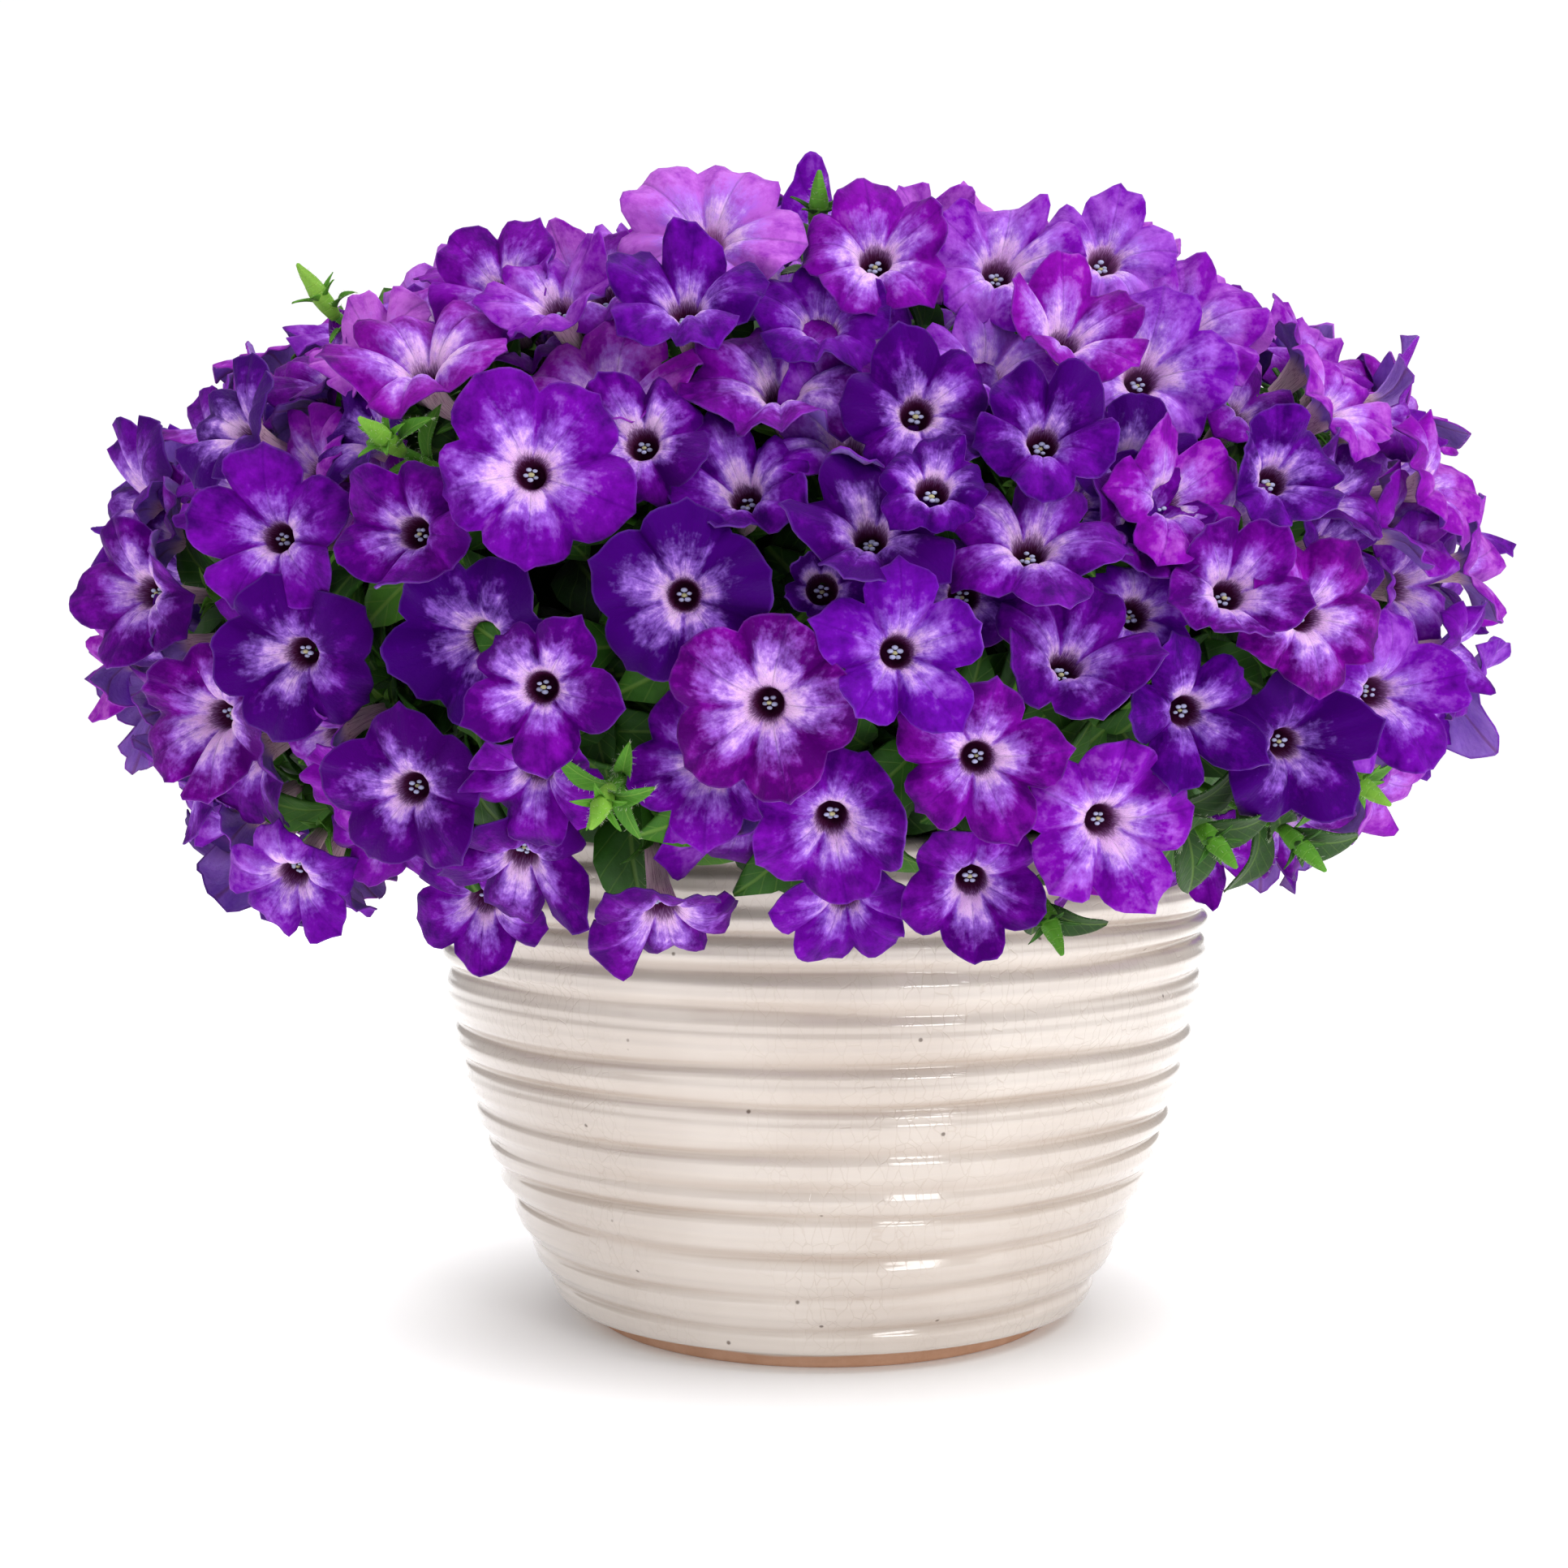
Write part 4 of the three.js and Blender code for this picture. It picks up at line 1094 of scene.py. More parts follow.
@dataclass(frozen=True)
class GlazeFinish(Finish):
    """Cream crackle glaze, tan towards the bottom of each groove, over a bare terracotta foot."""

    name: str = "cream_glaze"
    specular: float = 0.5
    cream: str = "d1c7be"
    shade: str = "c4b8ae"
    groove: str = "b2a092"
    crackle: str = "a8917c"
    speck: str = "4a3526"
    clay: tuple[str, ...] = ("bc8c6c", "d8ae94")
    glaze_line: float = 5.0
    line_blur: float = 0.0006

    def feeds(self, tree: Tree) -> Feeds:
        """Paints by the groove mark, with crackle, specks and the foot by height."""
        place = object_place(tree)
        cloud, grain = mottle(tree, 14.0)
        # Darker tan towards the bottom of each groove, and rougher there.
        near_groove = mark(tree, "place").parts()[0].maths("POWER", 1.6) * 0.75
        grooved = near_groove.mix(cloud.step(0.35, 0.7).mix(self.cream, self.shade), self.groove)
        lines = self.crackle_lines(place)
        cracked = (lines * 0.2).mix(grooved, self.crackle)
        specked = (self.specks(place) * 0.8).mix(cracked, self.speck)
        foot = (cloud - 0.5) * 0.006 + self.glaze_line * MM
        bare = place.parts()[2].step(foot + self.line_blur, foot - self.line_blur)
        rough = cloud * 0.12 + 0.1 + near_groove * 0.15
        return {
            "Base Color": bare.mix(specked, grain.ramp(self.clay)),
            "Roughness": (bare * 0.85).maths("MAXIMUM", rough),
            "Coat Weight": 0.5 - bare * 0.5,
            "Coat Roughness": 0.06,
            "Normal": (cloud * 1.4 - lines * 0.15 + grain * bare * 0.5).bump(0.35, 0.0018),
        }

    @staticmethod
    def crackle_lines(place: Wire) -> Wire:
        """Fine crackle, mostly upright: the edges of tall cells, where a soft mask lets them show."""
        tall = place.vector("MULTIPLY", (1.0, 1.0, 0.32))
        warped = tall.vector("ADD", (tall.noise(60.0) * 0.006).on(X))
        cells = {"Vector": warped, "Scale": 270.0}
        edges = place.into("ShaderNodeTexVoronoi", cells, feature="DISTANCE_TO_EDGE")
        return edges.step(0.035, 0.0) * tall.noise(16.0).step(0.36, 0.6)

    @staticmethod
    def specks(place: Wire) -> Wire:
        """Sparse iron specks."""
        near = place.into("ShaderNodeTexVoronoi", {"Vector": place, "Scale": 130.0})
        kept = Wire(near.socket.node.outputs["Color"]).parts()[0].maths("GREATER_THAN", 0.91)
        return kept * near.step(0.13, 0.05)


@dataclass(frozen=True)
class SoilFinish(Finish):
    """Dark, damp potting soil."""

    name: str = "potting_soil"
    browns: tuple[str, ...] = ("0d0805", "2a1b11", "5a4330")

    def feeds(self, tree: Tree) -> Feeds:
        """Dark browns by cloud and grain, with a crumbly bump."""
        cloud, grain = mottle(tree, 70.0)
        colour = (grain * 0.6 + cloud * 0.4).ramp(self.browns)
        return {"Base Color": colour, "Normal": grain.bump(0.8, 0.003), "Roughness": grain * 0.2 + 0.78}


@dataclass(frozen=True)
class FloorFinish(Finish):
    """A pale floor that glows, but less near the pot, where its shadow falls."""

    name: str = "studio_floor"
    specular: float = 0.1
    colour: Colour = (0.93, 0.93, 0.93, 1.0)
    glow: tuple[float, float] = (0.06, 0.66)
    reach: tuple[float, float] = (0.075, 0.2)

    def feeds(self, tree: Tree) -> Feeds:
        """Glows by the distance from the middle."""
        x, y, _ = object_place(tree).parts()
        near, far = self.glow
        glow = (x * x + y * y).maths("SQRT").step(*self.reach) * (far - near) + near
        lit = {"Emission Color": WHITE, "Emission Strength": glow}
        return {"Base Color": self.colour, "Roughness": 0.9, **lit}


# ---- Leaves, buds and hairs -----------------------------------------------------------------------


@dataclass
class LeafPattern:
    """One leaf, modelled flat along X with unit length, and copied to where it grows."""

    along: int
    across: int
    width: float = 0.5
    arch: float = 0.13
    droop: float = 0.2
    cup: float = 0.35
    ruffle: float = 0.02
    thickness: float = 0.02
    blunt: float = 0.6
    points: Array = field(init=False)
    faces: list[Array] = field(init=False)

    def __post_init__(self) -> None:
        """Models the blade from a grid: outline, fold along the midrib and arch, then thickness."""
        bpy.ops.object.select_all(action="DESELECT")
        bpy.ops.mesh.primitive_grid_add(x_subdivisions=self.along, y_subdivisions=self.across, size=1)
        blade = bpy.context.object
        for vertex in blade.data.vertices:
            share, side = vertex.co.x + 0.5, vertex.co.y * 2
            half = self.width / 2 * max(0.02, math.sin(math.pi * share)) ** self.blunt
            lift = self.arch * math.sin(math.pi * share) - self.droop * share**2
            ruffle = self.ruffle * math.sin(9 * share + 2 * side) * abs(side)
            vertex.co = Vector((share, side * half, lift + self.cup * abs(side) ** 1.5 * half + ruffle))
        solid = blade.modifiers.new("thickness", "SOLIDIFY")
        solid.thickness = self.thickness
        solid.offset = 0
        bpy.ops.object.modifier_apply(modifier=solid.name)
        self.points, self.faces = taken_apart(blade)

    def rim(self) -> Array:
        """Which of its points are near the rim."""
        along = self.points[:, 0].clip(0, 1)
        return np.abs(self.points[:, 1]) > 0.4 * self.width * np.sin(np.pi * along) ** self.blunt

    def grown(
        self, root: Array, ahead: Array, face: Array, length: float, light: float, width: float = 1.0
    ) -> Shape:
        """A copy of the leaf.

        Args:
            root: Where it starts.
            ahead: The way that it points.
            face: The way that its upper face looks.
            length: Its length.
            light: Its lightness, from dark 0 to yellow-green 1.
            width: How wide it is, as a share of the pattern's width.

        Returns:
            The leaf's shape.
        """
        forward = unit(ahead)
        side = unit(np.cross(face, forward))
        along, across, up = self.points.T[:, :, None]
        points = root + length * (along * forward + width * across * side + up * np.cross(forward, side))
        place = np.hstack([along, across / np.abs(across).max(), up * 0])
        return Shape(points, *self.faces, {"place": place, "tone": (light, 0.0, 0.0)})


def hairs(roots: Array, outs: Array, length: float, seed: int) -> Shape:
    """Thin three-sided hairs.

    Args:
        roots: Where they start.
        outs: Which way each one points.
        length: Their usual length.
        seed: Seeds their small differences.

    Returns:
        All of them as one shape.
    """
    draws = np.random.default_rng(seed)
    count = len(roots)
    lengths = length * draws.uniform(0.6, 1.3, count)[:, None]
    outs = unit(outs + draws.normal(0, 0.22, (count, 3)))
    side = unit(np.cross(outs, [0.31, 0.87, 0.38]))
    other = np.cross(outs, side)
    turns = np.arange(3) * TURN / 3
    corners = [roots + HAIR_RADIUS * (math.cos(a) * side + math.sin(a) * other) for a in turns]
    points = np.stack([*corners, roots + outs * lengths], axis=1).reshape(-1, 3)
    cone = np.array([[0, 2, 1], [0, 1, 3], [1, 2, 3], [2, 0, 3]])
    triangles = (np.arange(count)[:, None, None] * 4 + cone).reshape(-1, 3)
    place = np.tile([[0.0, 0, 0]] * 3 + [[1.0, 0, 0]], (count, 1))
    return Shape(points, np.zeros((0, 4), int), triangles, {"place": place})


def bud_swell(share: Array | float) -> Array | float:
    """How full a bud is along its length."""
    return np.sin(np.pi * np.minimum(1, share * 0.8 + 0.14)) ** 0.8 * (1 - 0.35 * share)


def bud_shape(root: Array, axis: Array, length: float, radius: float, light: float) -> Shape:
    """A furled bud: five twisted folds that narrow to a tip."""
    side = across_of(axis)
    shares, angles = np.linspace(0.0, 1.0, 11), np.arange(30) * TURN / 30
    around, rings = circle(angles, side, np.cross(axis, side)), []
    for share in shares:
        r = radius * bud_swell(share) * (1 + 0.16 * share * np.cos(5 * (angles + 2.2 * share)))
        rings.append(root + axis * length * share + r[:, None] * around)
    place = np.array([[share, 0.5, 0.0] for share in (*np.repeat(shares, len(angles)), 0, 1)])
    tip = root + axis * length * 1.02
    return lofted(rings, root - axis * 0.3, tip, place=place, tone=(light, 0.0, 0.0))


# ---- The blooms -----------------------------------------------------------------------------------


def bent_path(start: Array, leaving: Array, end: Array, pull: float, steps: int) -> Array:
    """A smooth path that leaves its start in a direction and comes to its end straight from the start."""
    t = np.linspace(0, 1, steps)[:, None]
    b = start + leaving * pull
    c = end + unit(b - end) * pull
    return (1 - t) ** 3 * start + 3 * (1 - t) ** 2 * t * b + 3 * (1 - t) * t**2 * c + t**3 * end


def distances(path: Array) -> Array:
    """How far along a path each of its points is."""
    return np.concatenate([[0], np.cumsum(np.linalg.norm(np.diff(path, axis=0), axis=1))])


def points_at(path: Array, gone: Array, at: Array | float) -> Array:
    """Points of a path, where gone says how far along each of its own points is."""
    return np.stack([np.interp(at, gone, path[:, k]) for k in range(3)], axis=-1)


def bell(x: Array) -> Array:
    """A bell curve, 1 in the middle."""
    return np.exp(-(x**2))


@dataclass
class Sprays:
    """The sprays of fine blooms. No two are alike, so each one's skin is worked out by formula."""

    petal: Material
    green: Material
    pollen: Material
    hair: Material
    lobes: int = 5
    around: int = 60
    reaches: tuple[float, ...] = (0, 0.06, 0.14, 0.24, 0.36, 0.5, 0.64, 0.78, 0.9, 0.972, 1.0)
    back_rings: tuple[int, ...] = (10, 9, 8, 7, 6, 5, 3, 1)
    mouth: float = 4.4
    inner_steps: tuple[tuple[float, float], ...] = ((10.0, 1.9), (6.0, 3.0), (2.4, 3.9))
    thickness: float = 0.55
    rim_side: float = 0.2
    # Painted light: how much lighter a bloom is painted the higher it stands, from a height over a rise,
    # standing in for light shining through the upper petals.
    painted_top_light: tuple[float, float, float] = (0.54, 290, 110)
    tube_steps: tuple[tuple[float, float], ...] = ((0.05, 4.5), (0.3, 3.5), (0.62, 2.9), (1.0, 2.1))
    tube_length: float = 21.0
    sepal: float = 13.0
    stalk: float = 1.25
    leaf_turn: float = 2.4
    tube_hairs: int = 46
    seed: int = 5000
    leaf: LeafPattern = field(default_factory=lambda: LeafPattern(7, 3))
    stalk_leaf: LeafPattern = field(default_factory=lambda: LeafPattern(8, 4))
    anther: tuple[Array, list[Array]] = field(default_factory=lambda: ball(2, (1.15, 0.8, 0.75)))

    def build(self, blooms: list[BloomPlace], knobs: list[Array]) -> None:
        """Builds each spray's blooms on its knob."""
        for index, knob in enumerate(knobs):
            sketch = Sketch()
            for k, bloom in enumerate(blooms):
                if bloom.spray == index:
                    self.add(sketch, bloom, knob, self.seed + k)
            name = f"bloom_spray_{index + 1:02d}"
            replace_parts(sketch.piece(f"{name}_fine", "petals"), name)

    def outline(self, fold: Array, lobe: Array, notched: float, draws: Draws) -> Array:
        """The rim's radius as a share of the limb's: round lobes, notches and small points."""
        notch = 0.08 + notched + draws.uniform(-0.02, 0.06)
        width = draws.uniform(0.92, 1.05, self.lobes)[lobe]
        point = draws.uniform(0.01, 0.08, self.lobes)[lobe] + notched * 0.3
        cleft = draws.uniform(0.02, 0.08)
        away = np.abs(fold)
        rounding = 1 - notch * away**2.6 - cleft * bell((1 - away) / 0.12)
        return width ** (1 - away) * rounding + point * bell(away / 0.13) - point * 0.4

    def heights(self, bloom: BloomPlace, turn: Array, fold: Array, lobe: Array, draws: Draws) -> Array:
        """What the limb's waves, creases and twisted lobes add to its height, ring by ring."""
        grow, away = np.array(self.reaches)[:, None], np.abs(fold)
        waves = np.fft.irfft(np.fft.rfft(bloom.waves) * self.around / 10, self.around)
        ruffle = np.zeros(self.around)
        for m in (7, 11, 16):
            ruffle += draws.uniform(0.4, 1.2) * np.sin(m * turn + draws.uniform(0, ANY_TURN))
        twist = draws.normal(0, 2.8, self.lobes)[lobe] * fold * np.sqrt(1 - fold**2) * 2
        crease = 2.2 * bell(away / 0.14) + 3.2 * bell((1 - away) / 0.3)
        rise = 1.25 * waves * grow**2 + ruffle * grow**3 + twist * grow**2
        return bloom.wide / 50 * (rise - crease * grow * (1.5 - grow) / 0.75**2)

    def limb(self, bloom: BloomPlace, draws: Draws) -> tuple[Array, Array, Array, Array]:
        """The front of a bloom's limb.

        Args:
            bloom: The bloom.
            draws: Its own random numbers.

        Returns:
            Its points, ring by ring from the throat's mouth, their marks of place, the angles, and
            the colouring at each angle.
        """
        turn = -math.pi / self.lobes + np.arange(self.around) * TURN / self.around
        lobe_share = turn * self.lobes / TURN + 0.5
        whole = np.floor(lobe_share + 1e-9)
        lobe, fold = whole.astype(int) % self.lobes, 2 * (lobe_share - whole) - 1
        curl, curl_spread, notched = bloom.form.value
        rim = bloom.wide / 2 * FULLNESS * self.outline(fold, lobe, notched, draws)
        curls = draws.normal(curl, curl_spread, self.lobes).clip(-1.2, 1.7)[lobe]
        curls *= 0.3 + 0.7 * np.cos(math.pi / 2 * fold) ** 2
        fine, grow = np.linspace(0, 1, 61)[:, None], np.array(self.reaches)[:, None]
        opening = draws.uniform(0.02, 0.32) + 1.35 * (1 - fine) ** 1.75
        slope = opening - 1.7 * curls * fine**2.2
        step = np.diff(fine, axis=0, prepend=0) * (rim - self.mouth)
        picks = np.round(grow[:, 0] * 60).astype(int)
        out = self.mouth + np.cumsum(np.cos(slope) * step, axis=0)[picks]
        up = np.cumsum(np.sin(slope) * step, axis=0)[picks]
        up += self.heights(bloom, turn, fold, lobe, draws)
        up -= np.median(up[-1])
        angle = bloom.spin + turn
        points = np.stack([out * np.cos(angle), out * np.sin(angle), up], axis=2)
        place = np.stack(np.broadcast_arrays(grow, np.abs(fold), 0.0), axis=2)
        hue, light, star = np.array(bloom.tone) + draws.normal(0, 1, 3) * (0.09, 0.07, 0.04)
        light = light + draws.normal(0, 0.07, self.lobes)[lobe]
        # Painted light: the higher the bloom, the lighter its colour, standing in for light through the
        # upper petals.
        most, low, rise = self.painted_top_light
        light += most * np.clip((bloom.centre[2] - low) / rise, 0, 1)
        star = star + 0.07 * np.cos(turn - draws.uniform(0, ANY_TURN))
        star += draws.normal(0, 0.03, self.lobes)[lobe]
        return points, place, angle, np.stack(np.broadcast_arrays(hue, light, star), axis=1)

    def skin(self, limb: tuple[Array, Array, Array, Array], path: Array, seed: float) -> Shape:
        """The closed skin of limb and tube.

        Args:
            limb: What limb() gives.
            path: The tube's path in the bloom's own axes.
            seed: A number that sets this bloom's streaks apart.

        Returns:
            The skin in the bloom's own axes.
        """
        front, place, angle, tone = limb
        ring, gone = circle(angle, X, Y), distances(path)
        inner = [ring * radius + points_at(path, gone, down - 0.8) for down, radius in self.inner_steps]
        around_step = np.roll(front, -1, axis=1) - np.roll(front, 1, axis=1)
        normal = unit(np.cross(np.gradient(front, axis=0), around_step))
        normal = unit(normal + np.roll(normal, 1, axis=1) + np.roll(normal, -1, axis=1))
        back_rings = list(self.back_rings)
        backs, back_place = (front - normal * self.thickness)[back_rings], place[back_rings] + Z
        back_place[0, :, 2] = self.rim_side
        outer, ahead, numbers = [], unit(np.gradient(path, axis=0)), np.arange(len(path))
        for share, radius in self.tube_steps:
            k = share * numbers[-1]
            direction = ahead[min(int(k), len(path) - 2)]
            side = unit(X - direction * direction[0])
            around = circle(angle, side, np.cross(side, direction))
            outer.append(points_at(path, numbers, k) + radius * around)
        rings = [*inner, *front, *backs, *outer]
        throat = [(r, 0.5, 0.0) for r in (-0.3, -0.2, -0.1)]
        tube_place = [(-0.1 - 0.3 * share, 0.5, 1.0) for share, _ in self.tube_steps]
        poles = ((-0.35, 0.5, 0.0), (-0.45, 0.5, 1.0))
        rows = [np.tile(row, (self.around, 1)) for row in (*throat, *tube_place)]
        places = np.vstack([*rows[:3], *place, *back_place, *rows[3:], poles])
        spoke = np.vstack([np.tile(ring, (len(rings), 1)), np.zeros((2, 3))]) + Z * seed
        tones = np.vstack([np.tile(tone, (len(rings), 1)), tone[:2]])
        bottom = inner[0].mean(axis=0) - Z * 0.5
        return lofted(rings, bottom, path[-1], spoke=spoke, place=places, tone=tones)

    def add(self, sketch: Sketch, bloom: BloomPlace, knob: Array, seed: int) -> None:
        """Adds a bloom with its stalk, calyx, leaves, anthers and hairs to a spray's sketch.

        Args:
            sketch: The spray's sketch.
            bloom: The bloom.
            knob: Where its stalk ends.
            seed: Seeds what is its own.
        """
        draws = np.random.default_rng(seed)
        x = across_of(bloom.axis)
        basis = np.stack([x, np.cross(bloom.axis, x), bloom.axis])
        limb = self.limb(bloom, draws)
        mouth = float(limb[0][0, :, 2].mean())
        whole = bent_path(bloom.centre + bloom.axis * (mouth - 0.8), -bloom.axis, knob, 15.0, 41)
        gone = distances(whole)
        cut = min(self.tube_length, gone[-1] * 0.6)
        at = np.linspace(0, cut, 9)
        path = points_at(whole, gone, at)
        skin = self.skin(limb, (path - bloom.centre) @ basis.T, draws.uniform(0, 40))
        skin.points = skin.points @ basis + bloom.centre
        sketch.add(skin, self.petal)
        rest = points_at(whole, gone, np.linspace(cut - 1.5, gone[-1], 8))
        light = draws.uniform(0.3, 0.6)
        sketch.add(tube(rest, [2.5, 1.9, *[self.stalk] * 6], 7, light), self.green)
        self.calyx(sketch, rest, draws, light)
        self.stalk_leaves(sketch, rest, draws)
        self.throat(sketch, bloom, basis, mouth, draws)
        turns = draws.uniform(0, TURN, self.tube_hairs)
        where = draws.uniform(0.15, 1.0, self.tube_hairs)
        out = circle(turns, basis[0], basis[1])
        widths = np.interp(where, *zip(*self.tube_steps))[:, None]
        roots = points_at(path, at, where * cut) + out * (widths - 0.3)
        sketch.add(hairs(roots, out, 1.5, seed), self.hair)

    def calyx(self, sketch: Sketch, rest: Array, draws: Draws, light: float) -> None:
        """Five narrow sepals that clasp the tube's foot and flare from it."""
        back = unit(rest[0] - rest[2])
        start = draws.uniform(0, TURN)
        for k in range(self.lobes):
            out = turned(across_of(back), back, start + k * TURN / self.lobes)
            ahead = back + out * draws.uniform(0.25, 0.75)
            length = self.sepal * draws.uniform(0.8, 1.15)
            sepal = self.leaf.grown(rest[1] + out * 1.5, ahead, -out, length, light + 0.1, 0.5)
            sketch.add(sepal, self.green)

    def stalk_leaves(self, sketch: Sketch, rest: Array, draws: Draws) -> None:
        """Two leaves on the stalk, one above the other."""
        along = unit(rest[0] - rest[-1])
        start = draws.uniform(0, TURN)
        for k in range(2):
            out = turned(across_of(along), along, start + k * self.leaf_turn)
            length = draws.uniform(24, 38)
            ahead = out + along * draws.uniform(0.2, 1.1)
            light = draws.uniform(0.26, 0.5) - 0.1 * k
            sketch.add(self.stalk_leaf.grown(rest[2 + 2 * k], ahead, along, length, light), self.green)

    def throat(self, sketch: Sketch, bloom: BloomPlace, basis: Array, mouth: float, draws: Draws) -> None:
        """Five anthers and a stigma, clustered in the throat's mouth."""
        spin = draws.uniform(0, ANY_TURN)
        points, faces = self.anther
        for k in range(6):
            ring, angle = 0.0 if k == 5 else 1.45, spin + k * TURN / 5
            height = mouth + draws.uniform(-2.8, -0.8)
            middle = np.array([ring * math.cos(angle), ring * math.sin(angle), height])
            placed = (points * draws.uniform(0.62, 0.86) + middle) @ basis + bloom.centre
            grain = Shape(placed, *faces, {"tone": (float(k == 5), 0.0, 0.0)})
            sketch.add(grain.faced_out(), self.pollen)


# ---- Foliage --------------------------------------------------------------------------------------


@dataclass
class Shoots:
    """The leafy shoots, each with a furled bud at its tip."""

    green: Material
    hair: Material
    leaf: LeafPattern = field(default_factory=lambda: LeafPattern(11, 7))
    stem: float = 1.6
    short: float = 4
    bud: tuple[float, float] = (19, 3.4)
    fan: tuple[float, float] = (62, 20)
    turn: tuple[float, float] = (2.4, 0.5)
    step: float = 4.5
    first: float = 0.4
    length_spread: float = 0.3
    bud_hairs: int = 90
    stem_hairs: int = 120

    @staticmethod
    def points() -> list[Array]:
        """Where each shoot meets the mound."""
        shown = [MOUND.seen(spot, MOUND.inset) for spot in SHOOTS if spot.x]
        behind = [on_sphere(math.radians(spot.turn), spot.rise) for spot in SHOOTS if not spot.x]
        return [MOUND.point(way, MOUND.inset) for way in shown + behind]

    def build(self) -> None:
        """Builds the shoots, leaf by leaf as the model's are."""
        for index, (spot, point) in enumerate(zip(SHOOTS, self.points())):
            outward, knob = MOUND.outward(point), MOUND.seat(point)
            tip = point - outward * self.short
            path = bent_path(tip, unit(knob - tip), knob, 20.0, 12)
            sketch = Sketch()
            sketch.add(tube(path, [self.stem] * len(path), 9, 0.5), self.green)
            self.leaves(sketch, spot, tip, unit(tip - knob), outward, index)
            length, radius = self.bud
            light = 0.78 if spot.narrow else 0.6
            sketch.add(bud_shape(tip - outward * 2, outward, length + 1, radius, light), self.green)
            self.fuzz(sketch, path, tip, outward, index)
            name = f"leafy_shoot_{index + 1}"
            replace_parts(sketch.piece(f"{name}_fine", "leaves"), name)

    def leaves(
        self, sketch: Sketch, spot: ShootSpot, tip: Array, along: Array, outward: Array, index: int
    ) -> None:
        """The leaves of one shoot with hairs on their rims, and the narrow ones that clasp its bud."""
        random = SeededRandom(index + 1)
        light, width, size = (0.5, 0.62, 0.72) if spot.narrow else (0.1, 1.0, 1.0)
        side, rim = across_of(outward), self.leaf.rim()
        for k in range(spot.leaves):
            turn = k * self.turn[0] + self.turn[1] * random()
            spread = math.radians(self.fan[0] + self.fan[1] * (random() - 0.5))
            length = spot.long * (1 + self.length_spread * (random() - 0.5)) * size
            ahead = turned(side, outward, turn) * math.sin(spread) + outward * math.cos(spread)
            root = tip - along * self.step * (k + self.first)
            leaf = self.leaf.grown(root, ahead, outward, length, light, width)
            sketch.add(leaf, self.green)
            middle = root + unit(ahead) * length * self.leaf.points[rim, :1]
            out = unit(leaf.points[rim] - middle + outward * 0.3)
            sketch.add(hairs(leaf.points[rim], out, 1.2, 100 * index + k), self.hair)
        for k in range(5):
            flat = turned(side, outward, k * TURN / 5 + 0.3)
            ahead, face = flat * 0.55 + outward, outward - flat
            sketch.add(self.leaf.grown(tip - outward, ahead, face, 13, light + 0.1, 0.45), self.green)

    def fuzz(self, sketch: Sketch, path: Array, tip: Array, outward: Array, index: int) -> None:
        """Hairs on the stem's upper part and on the bud."""
        draws = np.random.default_rng(900 + index)
        side = across_of(outward)
        other = np.cross(outward, side)
        length, radius = self.bud
        share = draws.uniform(0.02, 0.8, self.bud_hairs)[:, None]
        out = circle(draws.uniform(0, ANY_TURN, self.bud_hairs), side, other)
        roots = tip + outward * length * share + out * radius * bud_swell(share) * 0.9
        sketch.add(hairs(roots, out + outward * 0.3, 1.3, 700 + index), self.hair)
        base = points_at(path, np.arange(len(path)), draws.uniform(0, 4.5, self.stem_hairs))
        out = circle(draws.uniform(0, ANY_TURN, self.stem_hairs), side, other)
        sketch.add(hairs(base + out * self.stem * 0.9, out, 1.3, 800 + index), self.hair)


